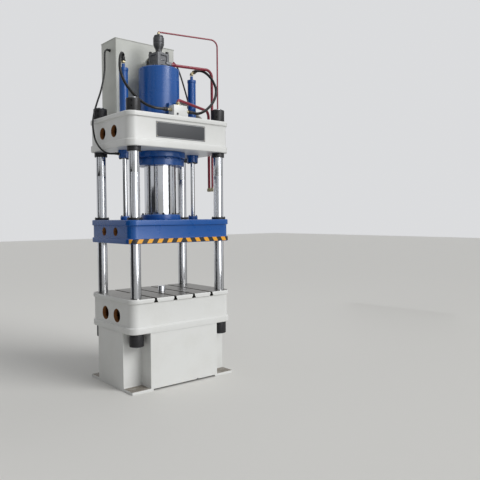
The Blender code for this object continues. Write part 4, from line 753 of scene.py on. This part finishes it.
# %% Side cylinders
shoulder = neck_top - 0.079
outline = [(0.035, beam_low + SEAT), (0.047, beam_low + SEAT), (0.047, beam_top + SEAT), (0.064, beam_top + SEAT),
           (0.064, beam_top + 0.0403), (0.047, beam_top + 0.0403), (0.047, shoulder - 0.034),
           (0.051, shoulder - 0.032), (0.051, shoulder), (0.017, shoulder)]
top_end = [(0.017, neck_top - 0.034), (0.0001, neck_top - 0.034), (0.0001, shoulder - 0.030), (0.035, shoulder - 0.030)]
set_out("side_barrels", turned(eased(outline, 0.004) + top_end, 56, hollow=True), blue_enamel, "side_cylinder",
        places=SIDES)
low, high = gland_low.z, gland_high.z
gland = pipe([(0.0254, low), (0.064, low), (0.064, low + 0.050), (0.071, low + 0.052), (0.071, high),
              (0.0254, high)], 0.003, 56)
set_out("side_glands", gland, blue_enamel, "side_gland", places=SIDES)
low, high = (corner.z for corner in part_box("side_rod_left"))
piston = [(0.025, low), (0.025, high - 0.060), (0.0346, high - 0.060), (0.0346, high)]
set_out("side_rods", solid(piston, 0.002, 48), chrome, "side_rod", "slide", SIDES)
low, high = (corner.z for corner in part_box("rod_foot_left"))
set_out("rod_feet", ring(0.0253, 0.055, low, high, 0.006, 48), blue_enamel, "rod_foot", "slide", SIDES)

# %% [markdown]
# ## Screws
# Glands, flanges and covers are held by rings of screws. A geometry tree stands a drawn screw on a circle
# of points and gives each its own chance turn, as a real screw stops where it is tight. The array modifier
# with an object offset gives a ring too, but every head would then stand at the same angle.

# %% The ring tree
ring_tree, given = new_tree("ring of screws", Screw="Object", Count="Int", Circle="Float", Height="Float",
                            Start="Float", Seed="Int", Material="Material")
circle = node(ring_tree, "GeometryNodeMeshCircle", {"Vertices": given["Count"], "Radius": given["Circle"]})
lift = node(ring_tree, "ShaderNodeCombineXYZ", {"Z": given["Height"]})
begin = node(ring_tree, "ShaderNodeCombineXYZ", {"Z": given["Start"]})
placed = node(ring_tree, "GeometryNodeTransform", {"Geometry": circle.outputs["Mesh"], "Translation": lift.outputs[0],
                                                   "Rotation": begin.outputs[0]})
chance = node(ring_tree, "FunctionNodeRandomValue", {2: 0.0, 3: 1.047, "Seed": given["Seed"]}, data_type="FLOAT")
turn = node(ring_tree, "ShaderNodeCombineXYZ", {"Z": chance.outputs[1]})
drawn = node(ring_tree, "GeometryNodeObjectInfo", {"Object": given["Screw"]})
copies = node(ring_tree, "GeometryNodeInstanceOnPoints", {"Points": placed.outputs[0],
                                                         "Instance": drawn.outputs["Geometry"],
                                                         "Rotation": turn.outputs[0]})
end_tree(ring_tree, copies.outputs[0], given["Material"])

# %% Draw screws and set them in a ring
def joined(*meshes):
    """Several meshes as one, each keeping its materials."""
    shape = bmesh.new()
    materials = []
    for mesh in meshes:
        own = list(mesh.materials)
        materials += [m for m in own if m not in materials]
        part = bmesh.new()
        part.from_mesh(mesh)
        for face in part.faces:
            face.material_index = materials.index(own[face.material_index]) if own else 0
        part = mesh_of(part, outwards=False)
        shape.from_mesh(part)
        bpy.data.meshes.remove(part)
    result = mesh_of(shape, outwards=False)
    for m in materials:
        result.materials.append(m)
    return result


def hexagon(width, low, high, ease=0.001):
    """A hexagon bar of a width across its flats."""
    radius = width / 2 / math.cos(math.pi / 6)
    return solid([(radius, low), (radius, high)], ease, 6, 2)


def hex_screw(size):
    """A hexagon head on a washer, for a thread of that size."""
    washer = turned([(0.0001, 0), (size, 0), (size, 0.14 * size), (0.0001, 0.14 * size)], 24)
    return joined(washer, hexagon(1.5 * size, 0.14 * size, 0.80 * size, 0.08 * size))


def socket_screw(size):
    """A cylinder head with a socket."""
    outline = [(0.75 * size, 0), (0.75 * size, size), (0.42 * size, size), (0.42 * size, 0.5 * size)]
    return turned([(0.0001, 0)] + eased(outline, 0.06 * size, 2) + [(0.0001, 0.5 * size)], 24)


def screws(name, screw, count, circle, height, seed=1, start=0.0, place=MIDDLE, material=black_oxide, body="frame",
           lean=0):
    """A ring of screws round an upright axis, or round one that leans by an angle about X."""
    mesh = grow(ring_tree, put("drawn", screw), Count=count, Circle=circle, Height=height,
                Start=math.radians(start), Seed=seed, Material=material)
    return show(name, spun(mesh, lean, "X") if lean else mesh, material, (), body, shift=place)


screws("gland_screws", hex_screw(0.018), 9, 0.2625, plate_high - 0.0145, start=213, material=blue_enamel)
screws("ram_collar_screws", socket_screw(0.016), 8, 0.2005, flange_high, start=22.5, body="slide")
foot_z, cover_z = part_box("rod_foot_left")[1].z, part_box("wiper_cover_front_left")[1].z
for i, side in enumerate(SIDES):
    place = MIDDLE + X * (SIDE_X if i else -SIDE_X)
    screws("side_gland_screws_" + side, spun(hex_screw(0.014), 180, "X"), 6, 0.049, gland_low.z, 2 + i, 15, place)
    screws("rod_foot_screws_" + side, socket_screw(0.010), 4, 0.041, foot_z, 4 + i, 45, place, body="slide")
for i, corner in enumerate(("front_left", "rear_left", "front_right", "rear_right")):
    screws("wiper_screws_" + corner, socket_screw(0.006), 6, 0.067, cover_z, 6 + i, 30,
           MIDDLE + Vector((*COLUMNS[i], 0)), body="slide")

# %% [markdown]
# ## The prefill valve
# When the slide drops fast, oil is sucked from the fill tank through this valve. It is a square block with
# shallow windows on a round base, and a goblet-shaped cylinder on top pushes it open. In each window one
# sees the round sleeve. The windows are cut into the block by a Boolean, and the sleeve stands in it.

# %% Valve block and base
BORE_SIDES = 56
base_top, block_top = barrel_top + 0.022, cylinder_high + 0.144
neck_z, prefill_z = (base_top + block_top) / 2, cylinder_high + 0.039
base = solid([(0.130, barrel_top + SEAT), (0.130, base_top)], 0.003, 72)
windows = [spun(moved(slab(0.0125, 0.045, 0.006, base_top + 0.036, block_top - 0.022), 0.0825), 90 * turn)
           for turn in (0, 2, 3)]
way = coloured(rod(0.060, base_top - PAST, block_top - 0.010, BORE_SIDES), phosphated)
cage = carve(slab(0.0825, 0.0825, 0.006, base_top - 0.002, block_top), windows + [way])
sleeve = solid([(0.070, base_top), (0.070, base_top + 0.070), (0.075, base_top + 0.072), (0.075, base_top + 0.082),
                (0.070, base_top + 0.084), (0.070, block_top - 0.010)], 0.002, BORE_SIDES)
head_plate = solid([(0.066, block_top), (0.066, block_top + 0.012)], 0.003, BORE_SIDES)
neck = moved(rod(0.052, 0.045, 0.150, BORE_SIDES, "Y"), 0, 0, neck_z)
collar = moved(spun(solid([(0.075, 0.132), (0.075, 0.150)], 0.002, BORE_SIDES), -90, "X"), 0, 0, neck_z)
union = moved(rod(0.026, 0.050, 0.092, 40, "X"), 0, -0.055, prefill_z)
nut = moved(spun(hexagon(0.048, 0.092, 0.120, 0.002), 90, "Y"), 0, -0.055, prefill_z)
valve = joined(base, spun(joined(cage, sleeve, head_plate), 8), neck, collar, union, nut)
show("valve_body", valve, phosphated, ["prefill_valve"])
screws("valve_base_screws", hex_screw(0.016), 8, 0.113, base_top, 11, 8 - 22.5)
screws("valve_head_screws", socket_screw(0.024), 4, 0.091, block_top, 12, 53)

# %% Goblet-shaped actuator
foot = block_top + SEAT
goblet = [(0.046, 0.0), (0.046, 0.008), (0.036, 0.012), (0.0345, 0.030), (0.036, 0.049), (0.0445, 0.066),
          (0.052, 0.082), (0.059, 0.101), (0.0605, 0.108), (0.0605, 0.120), (0.0575, 0.122), (0.0575, 0.126),
          (0.0605, 0.128), (0.0605, 0.182), (0.050, 0.184), (0.046, 0.188), (0.049, 0.190), (0.049, 0.206),
          (0.016, 0.207), (0.016, 0.221)]
show("actuator_body", solid([(r, foot + h) for r, h in goblet], 0.002, 72), oiled_phosphate, ["prefill_actuator"])
screws("actuator_screws", socket_screw(0.008), 6, 0.053, foot + 0.186, 13)
fitting = joined(hexagon(0.030, foot + 0.2215, foot + 0.238, 0.002), rod(0.012, foot + 0.238, foot + 0.2425, 24))
show("actuator_fitting", fitting, zinc)

# %% [markdown]
# ## The fill tank
# A box of 6 mm sheet, folded at its upright edges and closed by a welded floor and lid, on two feet. The
# welds are round beads with the small waves a welder's hand leaves. A geometry tree draws a bead along any
# path and shakes its thickness with noise. A bump map would do from afar, but the beads also break edges.

# %% The bead tree
bead_tree, given = new_tree("weld bead", Seam="Object", Radius="Float", Seed="Float", Material="Material")
seam = node(bead_tree, "GeometryNodeObjectInfo", {"Object": given["Seam"]})
stepped = node(bead_tree, "GeometryNodeResampleCurve", {"Curve": seam.outputs["Geometry"], "Length": 0.010},
               mode="LENGTH")
uneven = node(bead_tree, "ShaderNodeTexNoise", {"W": given["Seed"], "Scale": 60.0, "Detail": 1.0},
              noise_dimensions="4D")
swell = node(bead_tree, "ShaderNodeMapRange", {"Value": uneven.outputs[0], "From Min": 0.3, "From Max": 0.7,
                                               "To Min": 0.8, "To Max": 1.2})
round_section = node(bead_tree, "GeometryNodeCurvePrimitiveCircle", {"Resolution": 8, "Radius": given["Radius"]})
bead = node(bead_tree, "GeometryNodeCurveToMesh", {"Curve": stepped.outputs[0], "Fill Caps": True,
                                                  "Profile Curve": round_section.outputs[0],
                                                  "Scale": swell.outputs[0]})
end_tree(bead_tree, bead.outputs[0], given["Material"])


def beads(name, paths, radius, material, seed):
    mesh = grow(bead_tree, path_object(paths), Radius=radius, Seed=seed, Material=material)
    return show(name, mesh, material, angle=60)

# %% Tank, feet and flange
TANK_Y = 0.455
tank_floor, tank_roof = tank_high.z - 0.875, tank_high.z
lid_foot = tank_roof - 0.005
stub = moved(rod(0.052, 0.1503 - TANK_Y, -0.170, BORE_SIDES, "Y"), 0, 0, neck_z)
rim = moved(spun(solid([(0.075, 0), (0.075, 0.018)], 0.002, BORE_SIDES), -90, "X"), 0, 0.1503 - TANK_Y, neck_z)
feet = []
for low, high in ((-0.300, -0.240), (0.240, 0.300)):
    feet += [block((low, -0.165, beam_top + SEAT), (high, 0.145, beam_top + 0.008)),
             block((low, -0.165, beam_top + 0.008), (low + 0.008, 0.145, tank_floor))]
tank = joined(slab(0.387, 0.175, 0.012, tank_floor, lid_foot), slab(0.390, 0.178, 0.012, lid_foot, tank_roof),
              stub, rim, *feet)
show("tank_shell", moved(tank, 0, TANK_Y), tank_enamel, ["fill_tank"])
seams = [[(sx * 0.3885, TANK_Y + sy * 0.1765, z) for sx, sy in ((-1, -1), (1, -1), (1, 1), (-1, 1), (-1, -1))]
         for z in (lid_foot, tank_floor + 0.001)]
beads("tank_welds", seams, 0.0028, tank_enamel, 3.0)
for name, y, lean, seed in (("tank_flange_screws", 0.1683, -90, 14), ("valve_flange_screws", 0.132, 90, 15)):
    screws(name, hex_screw(0.012), 8, 0.0635, 0.0, seed, 22.5, MIDDLE + Vector((0, y, neck_z)), zinc, lean=lean)

# %% [markdown]
# ## The red pipes
# Three steel pipes carry oil over the crown and down its right side. A pipe bender bends each at one
# radius. A geometry tree rounds the corners of a drawn route and sweeps a circle along it, so the bend
# radius is one input. A bevelled curve would need the rounded route to be worked out by hand.

# %% The pipe tree
pipe_tree, given = new_tree("bent pipe", Route="Object", Bend="Float", Radius="Float", Material="Material")
route = node(pipe_tree, "GeometryNodeObjectInfo", {"Object": given["Route"]})
bent = node(pipe_tree, "GeometryNodeFilletCurve", {"Curve": route.outputs["Geometry"], "Count": 10,
                                                  "Radius": given["Bend"], "Limit Radius": True}, mode="POLY")
tube = node(pipe_tree, "GeometryNodeCurvePrimitiveCircle", {"Resolution": 24, "Radius": given["Radius"]})
swept = node(pipe_tree, "GeometryNodeCurveToMesh", {"Curve": bent.outputs[0], "Profile Curve": tube.outputs[0],
                                                   "Fill Caps": True})
end_tree(pipe_tree, swept.outputs[0], given["Material"])


def stack(start, way, pieces, back=0.0):
    """Round and hexagon pieces in a row from a point, along a way."""
    meshes, low = [], -back
    for kind, width, length in pieces:
        high = low + length
        meshes.append(hexagon(width, low, high, 0.0015) if kind == "hex" else
                      solid([(width / 2, low), (width / 2, high)], 0.0015, 28, 2))
        low = high
    made = joined(*meshes)
    made.transform(Vector(way).to_track_quat("Z", "Y").to_matrix().to_4x4())
    return moved(made, *start)

# %% Pipes and their unions
PIPE_X, PIPE_END, CLIP_Z = 0.700, 2.130, 2.720
pilot_z, pressure_z, prefill_end_z = 3.872, 3.072, 3.547
pipe_routes = {
    "pressure_pipe": (0.0165, [(0.028, -0.3275, 3.0263), (0.028, -0.3275, pressure_z), (PIPE_X, 0.015, pressure_z),
                              (PIPE_X, 0.015, PIPE_END)]),
    "prefill_pipe": (0.0165, [(0.1203, -0.055, prefill_z), (0.200, -0.055, prefill_z), (PIPE_X, -0.055, prefill_end_z),
                             (PIPE_X, -0.055, PIPE_END)]),
    "pilot_pipe": (0.009, [(0, 0, foot + 0.2430), (0, 0, pilot_z), (PIPE_X, -0.165, pilot_z),
                           (PIPE_X, -0.165, PIPE_END)]),
}
for name, (radius, points) in pipe_routes.items():
    mesh = grow(pipe_tree, path_object([points]), Bend=0.080, Radius=radius, Material=red_enamel)
    show(name + "_tube", mesh, red_enamel, [name], angle=40)
    x, y, z = points[-1]
    width = 3.2 * radius
    show(name + "_union", stack((x, y, z - 0.0225), UP, [("round", 0.8 * width, 0.006), ("hex", 0.92 * width, 0.026),
                                                         ("round", 0.75 * width, 0.013)]), zinc)
    show(name + "_clip", stack((x, y, CLIP_Z), UP, [("round", 2 * radius + 0.006, 0.012)]), black_oxide)
start = Vector(pipe_routes["prefill_pipe"][1][0])
check_valve = joined(stack(start, X, [("round", 0.046, 0.050), ("hex", 0.038, 0.018)], back=0.004),
                     stack(start + Vector((0.042, 0, 0.020)), UP, [("round", 0.020, 0.012), ("hex", 0.014, 0.006)]))
show("prefill_check_valve", check_valve, red_enamel)

# %% [markdown]
# ## Manifold block and hose ends
# The block is a milled cube, sprayed with the crown. Oil enters and leaves through screwed fittings with
# yellow zinc plate, and each hose ends in a dark pressed ferrule. All are short rows of round and hexagon
# pieces, so one function stacks them along any direction.

# %% Manifold block, its fittings and plugs
def softened(mesh, size):
    """Break the sharp edges of a mesh by a small bevel."""
    work = put("work", mesh)
    change = work.modifiers.new("soften", "BEVEL")
    change.width = size
    change.segments = 2
    change.limit_method = "ANGLE"
    change.angle_limit = math.radians(40)
    made = finished(work)
    bpy.data.objects.remove(work)
    return made


manifold_top = beam_top + 0.131
manifold = softened(block((-0.055, -0.380, beam_top + SEAT), (0.115, -0.275, manifold_top)), 0.003)
show("manifold", manifold, white_enamel, ["manifold_block"])
ports = [stack(port - way * 0.055, way, [("round", 0.038, 0.008), ("hex", 0.034, 0.020), ("round", 0.028, 0.027)])
         for port, way in ((left_port, -X), (right_port, X))]
ports.append(stack(Vector((0.028, -0.3275, manifold_top)) + MIDDLE, UP,
                   [("hex", 0.046, 0.018), ("round", 0.036, 0.004), ("hex", 0.040, 0.018)]))
ORIGIN = Vector((0, 0, 0))                            # for pieces drawn where they stand
show("manifold_fittings", joined(*ports), zinc, shift=ORIGIN)
plugs = joined(stack((0.085, -0.300, manifold_top), UP, [("hex", 0.026, 0.010), ("round", 0.022, 0.014)]),
               stack((0.1153, -0.345, beam_top + 0.040), X, [("hex", 0.024, 0.008)]),
               stack((-0.010, -0.3803, beam_top + 0.035), (0, -1, 0), [("hex", 0.022, 0.006)]))
show("manifold_plugs", plugs, black_oxide)

# %% Hose ends and elbow
for name, (hose, line, length, diameter) in lines.items():
    wide = name == "suction_hose"
    pieces = [("round", diameter + 0.004, 0.012)] if wide else [
        ("hex", diameter * 1.45, 0.012), ("round", diameter * 1.22, 0.008), ("round", diameter * 1.32, 0.022)]
    made = [stack(first, second - first, pieces, back=-0.010 if wide else 0.0)
            for first, second in ((line[0], line[1]), (line[-1], line[-2]))]
    show(name + "_ends", joined(*made), zinc if wide else black_oxide, shift=ORIGIN)
fittings = [stack(right_neck - UP * 0.022, UP, [("hex", 0.040, 0.016), ("round", 0.030, 0.014)]),
            stack(right_neck, elbow_way, [("round", 0.029, 0.024), ("hex", 0.034, 0.0113)], back=0.004),
            stack(left_neck - UP * 0.022, UP, [("hex", 0.040, 0.016), ("round", 0.030, 0.006)]),
            stack(gland_port, X, [("hex", 0.026, 0.012)], back=0.002),
            stack(drain_boss, UP, [("hex", 0.028, 0.014), ("round", 0.022, 0.016)]),
            stack(drain_port, X, [("hex", 0.026, 0.010)], back=0.010),
            stack(vent_port, -X, [("hex", 0.026, 0.010)], back=0.010)]
show("hose_fittings", joined(*fittings), zinc, shift=ORIGIN)
show("suction_outlet", stack(suction_port, X, [("round", 0.066, 0.008)]), tank_enamel, shift=ORIGIN)

# %% Pipe bracket with its nipple
bracket = softened(block((0.6353, -0.200, beam_top - 0.105), (0.730, 0.140, beam_top - 0.055)), 0.003)
nipple = stack((0.700, 0.100, beam_top - 0.0553), UP, [("round", 0.056, 0.012), ("round", 0.052, 0.018)])
show("bracket_body", joined(bracket, nipple), phosphated, ["pipe_bracket"])
caps = [stack((0.7303, y, beam_top - 0.080), X, [("hex", 0.020, 0.009)]) for y in (-0.185, -0.110, -0.020, 0.060)]
show("bracket_screws", joined(*caps), black_oxide)

# %% [markdown]
# ## Hazard band
# The slide's lower flange carries adhesive tape in yellow and black, which runs round the front corners.
# Its stripes lean towards the middle from both sides. A geometry tree sweeps the tape along the flange
# and stores the distance from the middle, and the material turns that distance into stripes. A mesh
# stripe by stripe, as in the solid model, would not wrap the corner as tape does.

# %% Tape material
tape_low, tape_high = slide_low + 0.006, slide_low + 0.0497
tape, tree, shader = surface("hazard_tape_film", "#F0A818", 0.38)
STRIPE, LEAN, HALF_YELLOW = 0.119, 0.6, 0.235         # the stripes repeat every 119 mm
along = node(tree, "ShaderNodeAttribute", attribute_name="along")
away = node(tree, "ShaderNodeMath", {0: along.outputs["Fac"]}, operation="ABSOLUTE")
place = node(tree, "ShaderNodeSeparateXYZ", {0: node(tree, "ShaderNodeTexCoord").outputs["Object"]})
rise = node(tree, "ShaderNodeMath", {0: place.outputs[2], 1: (tape_low + tape_high) / 2}, operation="SUBTRACT")
phase = node(tree, "ShaderNodeMath", {0: rise.outputs[0], 1: LEAN, 2: away.outputs[0]}, operation="MULTIPLY_ADD")
turns = node(tree, "ShaderNodeMath", {0: phase.outputs[0], 1: STRIPE}, operation="DIVIDE")
part = node(tree, "ShaderNodeMath", {0: turns.outputs[0]}, operation="FRACT")
offset = node(tree, "ShaderNodeMath", {0: part.outputs[0], 1: 0.5}, operation="SUBTRACT")
beside = node(tree, "ShaderNodeMath", {0: offset.outputs[0]}, operation="ABSOLUTE")
yellow = node(tree, "ShaderNodeMath", {0: beside.outputs[0], 1: HALF_YELLOW}, operation="LESS_THAN")
mixed = node(tree, "ShaderNodeMix", {0: yellow.outputs[0], 6: linear("#1B1B1D"), 7: linear("#EBA51C")},
             data_type="RGBA")
tree.links.new(mixed.outputs[2], shader.inputs["Base Color"])
print("tape nodes", len(tree.nodes))

# %% The tape tree
tape_tree, given = new_tree("tape", Path="Object", Height="Float", Thickness="Float", Material="Material")
path = node(tape_tree, "GeometryNodeObjectInfo", {"Object": given["Path"]})
measure = node(tape_tree, "GeometryNodeSplineParameter")
total = node(tape_tree, "GeometryNodeCurveLength", {"Curve": path.outputs["Geometry"]})
half = node(tape_tree, "ShaderNodeMath", {0: total.outputs[0], 1: 0.5}, operation="MULTIPLY")
centred = node(tape_tree, "ShaderNodeMath", {0: measure.outputs["Length"], 1: half.outputs[0]}, operation="SUBTRACT")
marked = node(tape_tree, "GeometryNodeStoreNamedAttribute", {"Geometry": path.outputs["Geometry"], "Name": "along",
                                                            "Value": centred.outputs[0]}, domain="POINT")
section = node(tape_tree, "GeometryNodeCurvePrimitiveQuadrilateral", {"Width": given["Thickness"],
                                                                     "Height": given["Height"]})
swept = node(tape_tree, "GeometryNodeCurveToMesh", {"Curve": marked.outputs[0], "Profile Curve": section.outputs[0],
                                                   "Fill Caps": True})
end_tree(tape_tree, swept.outputs[0], given["Material"])

# %% Lay the tape
half_x, half_y = PLAN_X / 2 + 0.0008, PLAN_Y / 2 + 0.0008
radius, reach = CORNER_RADIUS + 0.0008, math.radians(60)
arc = [(half_x - radius + radius * math.sin(reach * i / 12), -half_y + radius - radius * math.cos(reach * i / 12))
       for i in range(13)]
plan = [(-x, y) for x, y in arc[::-1]] + [(arc[0][0] * k / 20, arc[0][1]) for k in range(-19, 20)] + arc
mesh = grow(tape_tree, path_object([[(x, y, (tape_low + tape_high) / 2) for x, y in plan]]),
            Height=tape_high - tape_low, Thickness=0.0010, Material=tape)
show("hazard_tape", mesh, tape, ["hazard_strip"], "slide")

# %% [markdown]
# ## Ejector
# Under the table hangs a small cylinder whose rod passes the table's bore. It is turned, and the rod is
# ground and chromed like the columns. Only the rod's end shows above the table.

# %% Ejector cylinder and rod
low, high = (corner.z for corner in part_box("ejector_cylinder"))
barrel = solid([(0.0625, low + 0.030), (0.0625, high - 0.045), (0.0404, high - 0.045), (0.0404, high), (0.120, high),
                (0.120, high - 0.030), (0.080, high - 0.030), (0.080, low)], 0.002, BORE_SIDES)
show("ejector_barrel", barrel, blue_enamel, ["ejector_cylinder"])
low, high = (corner.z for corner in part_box("ejector_rod"))
plunger = solid([(0.0622, low), (0.0622, low + 0.050), (0.040, low + 0.050), (0.040, high)], 0.003, 64)
show("ejector_plunger", plunger, chrome, ["ejector_rod"], "ejector")

# %% [markdown]
# ## Pedestal
# The pedestal is plate, 25 mm thick, folded round a cross-shaped plan so that a niche at each corner
# leaves room for the bottom nuts. Two foot plates stick out into the niches. The plan is extruded and
# hollowed by Booleans, and a small bevel breaks every edge. Where the panels meet the table they are
# filled and ground flush, so no seam shows. The foot plates' tops are trodden bare.

# %% Scuffed plate
scuffed, tree, shader = surface("scuffed_foot_plate", "#8B857D", 0.6)
place = node(tree, "ShaderNodeTexCoord").outputs["Object"]
dirt = node(tree, "ShaderNodeTexNoise", {"Vector": place, "Scale": 22.0, "Detail": 8.0, "Roughness": 0.7})
ramp = node(tree, "ShaderNodeMapRange", {"Value": dirt.outputs[0], "From Min": 0.45, "From Max": 0.62})
mixed = node(tree, "ShaderNodeMix", {0: ramp.outputs[0], 6: linear("#7C756B"), 7: linear("#A39F97")}, data_type="RGBA")
tree.links.new(mixed.outputs[2], shader.inputs["Base Color"])
print("scuffed plate nodes", len(tree.nodes))

# %% Pedestal body
PANEL_X, WALL_Y, PLATE, FOOT, GAP = 0.430, 0.280, 0.025, 0.030, 0.020
END_X, END_Y = PLAN_X / 2, PLAN_Y / 2


def cross(inset, low, high):
    """A prism of the pedestal's cross-shaped plan."""
    return carve(block((-PANEL_X + inset, -END_Y + inset, low), (PANEL_X - inset, END_Y - inset, high)),
                 [block((-END_X + inset, -WALL_Y + inset, low), (END_X - inset, WALL_Y - inset, high))], "UNION")


pedestal_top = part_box("pedestal")[1].z
body = carve(cross(0, GAP, pedestal_top), [cross(PLATE, -0.1, pedestal_top + 0.1)])
body = carve(body, [block((s * 0.400, -END_Y, 0), (s * END_X, END_Y, FOOT)) for s in (-1, 1)], "UNION")
door = block((-0.280, END_Y - 0.050, 0.110), (0.280, END_Y + PAST, 0.470))
notch = moved(rod(0.012, -END_Y - PAST, -END_Y + 0.050, 24, "Y"), 0.160, 0, GAP)
body = coloured(softened(carve(body, [door, notch]), 0.003), white_enamel)
body.materials.append(scuffed)
for face in body.polygons:
    face.material_index = 1 if abs(face.center.z - FOOT) < 0.001 and face.normal.z > 0.9 else 0
low, high = pedestal_top - 0.004, bed_low + 0.006
fillers = []
for s in (-1, 1):
    fillers += [block((-PANEL_X + 0.001, s * END_Y, low), (PANEL_X - 0.001, s * (END_Y - 0.008), high)),
                block((s * END_X, -WALL_Y + 0.001, low), (s * (END_X - 0.008), WALL_Y - 0.001, high))]
fillers = coloured(joined(*fillers), white_enamel)
show("pedestal_body", joined(body, fillers), white_enamel, ["pedestal"], angle=20, own=True)

# %% Welds of the pedestal
runs = []
for x, y in ((sx * PANEL_X, sy * WALL_Y) for sx in (-1, 1) for sy in (-1, 1)):
    runs += [[(x, y, FOOT), far] for far in ((x, math.copysign(END_Y - 0.003, y), FOOT),
                                             (math.copysign(END_X - 0.003, x), y, FOOT), (x, y, pedestal_top - 0.002))]
beads("pedestal_welds", runs, 0.005, white_enamel, 8.0)

# %% [markdown]
# ## Nameplate
# A bare charcoal plate with a thin pale border, riveted to the crown. Nothing is written on it.

# %% Plate, border and rivets
(x0, x1), (z0, z1), face_y = (-0.325, 0.300), (2.628, 2.794), -END_Y + WEB_INSET
plate_face, WIDTH = face_y - 0.0022, 0.005
plate = softened(block((x0, face_y - 0.0023, z0), (x1, face_y - SEAT, z1)), 0.0006)
show("nameplate", plate, plate_grey)
rivets = [stack((x, plate_face, z), (0, -1, 0), [("round", 0.007, 0.0022)])
          for x in (x0 + 0.016, x1 - 0.016) for z in (z0 + 0.016, z1 - 0.016)]
x0, x1, z0, z1 = x0 + WIDTH, x1 - WIDTH, z0 + WIDTH, z1 - WIDTH
strips = [block((a, face_y - 0.0027, b), (c, plate_face, d))
          for a, b, c, d in ((x0, z0, x1, z0 + WIDTH), (x0, z1 - WIDTH, x1, z1),
                             (x0, z0 + WIDTH, x0 + WIDTH, z1 - WIDTH), (x1 - WIDTH, z0 + WIDTH, x1, z1 - WIDTH))]
show("nameplate_border", joined(*strips), plate_edge)
show("nameplate_rivets", joined(*rivets), zinc)

# %% [markdown]
# ## Where the hoses start
# Each hose leaves its first fitting straight.

for name, (hose, line, length, diameter) in lines.items():
    print(name, "starts at", [round(v, 3) for v in line[0]])

# %% [markdown]
# ## Floor, backdrop and light
# The press stands on a pale even floor, with a pale backdrop that fades into it. The light is soft and
# comes mostly from the front right and from above, as in the hall where the press stood.

# %% Floor and world
floor = put("floor", coloured(block((-40, -40, -0.05), (40, 40, 0)), surface("pale_floor", "#D9D8D4", 0.75)[0]))
floor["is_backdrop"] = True

world = bpy.data.worlds.new("hall")
bpy.context.scene.world = world
world.use_nodes = True
tree = world.node_tree
tree.nodes.clear()
rays = node(tree, "ShaderNodeLightPath")
seen = node(tree, "ShaderNodeMath", {0: rays.outputs["Is Camera Ray"], 1: rays.outputs["Is Glossy Ray"]},
            operation="MAXIMUM")
seen = node(tree, "ShaderNodeMath", {0: seen.outputs[0], 1: rays.outputs["Is Transmission Ray"]}, operation="MAXIMUM")
strength = node(tree, "ShaderNodeMapRange", {"Value": seen.outputs[0], "To Min": 0.42, "To Max": 0.80})
sky = node(tree, "ShaderNodeBackground", {"Color": linear("#F2F3F5"), "Strength": strength.outputs[0]})
node(tree, "ShaderNodeOutputWorld", {"Surface": sky.outputs[0]})
print("world strength 0.42 as light, 0.80 as seen")

# %% Lamps
def lamp(name, kind, way, place=(0, 0, 0), **settings):
    """A lamp that shines along a way."""
    light = bpy.data.lights.new(name, kind)
    for key, value in settings.items():
        setattr(light, key, value)
    held = put(name, light)
    held.location = place
    held.rotation_euler = Vector(way).to_track_quat("-Z", "Y").to_euler()
    held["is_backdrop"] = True
    return held


lamp("soft sun", "SUN", (-3.5, 7.5, -5.5), energy=1.9, angle=math.radians(35))
lamp("roof", "AREA", (0, 0, -1), (0, 0, 9.0), shape="RECTANGLE", size=7.0, size_y=7.0, energy=90)
window = lamp("window", "AREA", (-0.62, 5.47, 0), (0.62, -5.47, 3.1), shape="RECTANGLE", size=3.2, size_y=4.5,
              energy=140)
window.visible_diffuse = False                        # it only shines back from enamel and chrome
print("lit by a soft sun, a roof lamp and a window")

# %% Dark cloths
cloth = surface("dark_cloth", "#2C2D30", 0.9)[0]


def sheet(name, place, turn, width, foot, top):
    """An upright cloth beside the press that the camera doesn't see and that casts no shadow."""
    made = put(name, coloured(block((-0.02, -width / 2, foot), (0.02, width / 2, top)), cloth))
    made.location = place
    made.rotation_euler = (0, 0, turn)
    made.visible_camera = made.visible_shadow = False
    made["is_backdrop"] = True
    return made


# five give the chrome its upright bands and light nothing, and a low one keeps the left side in shade
for azimuth, width in ((158, 2.6), (198, 0.9), (-142, 0.7), (-58, 1.5), (8, 2.2)):
    angle = math.radians(azimuth)
    sheet("cloth", (6 * math.cos(angle), 6 * math.sin(angle), 0), angle, width, 0.0, 6.0).visible_diffuse = False
sheet("low cloth", (-2.5, 0.2, 0), 0, 2.6, 0.6, 2.1)
bpy.context.scene.view_settings.view_transform = "Standard"
print("six cloths stand beside the press")

# %% [markdown]
# ## Sizes, and the end
# The outer box of everything built, without the floor and the cloths, is measured at the end.

# %% Measure the sizes
low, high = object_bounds()
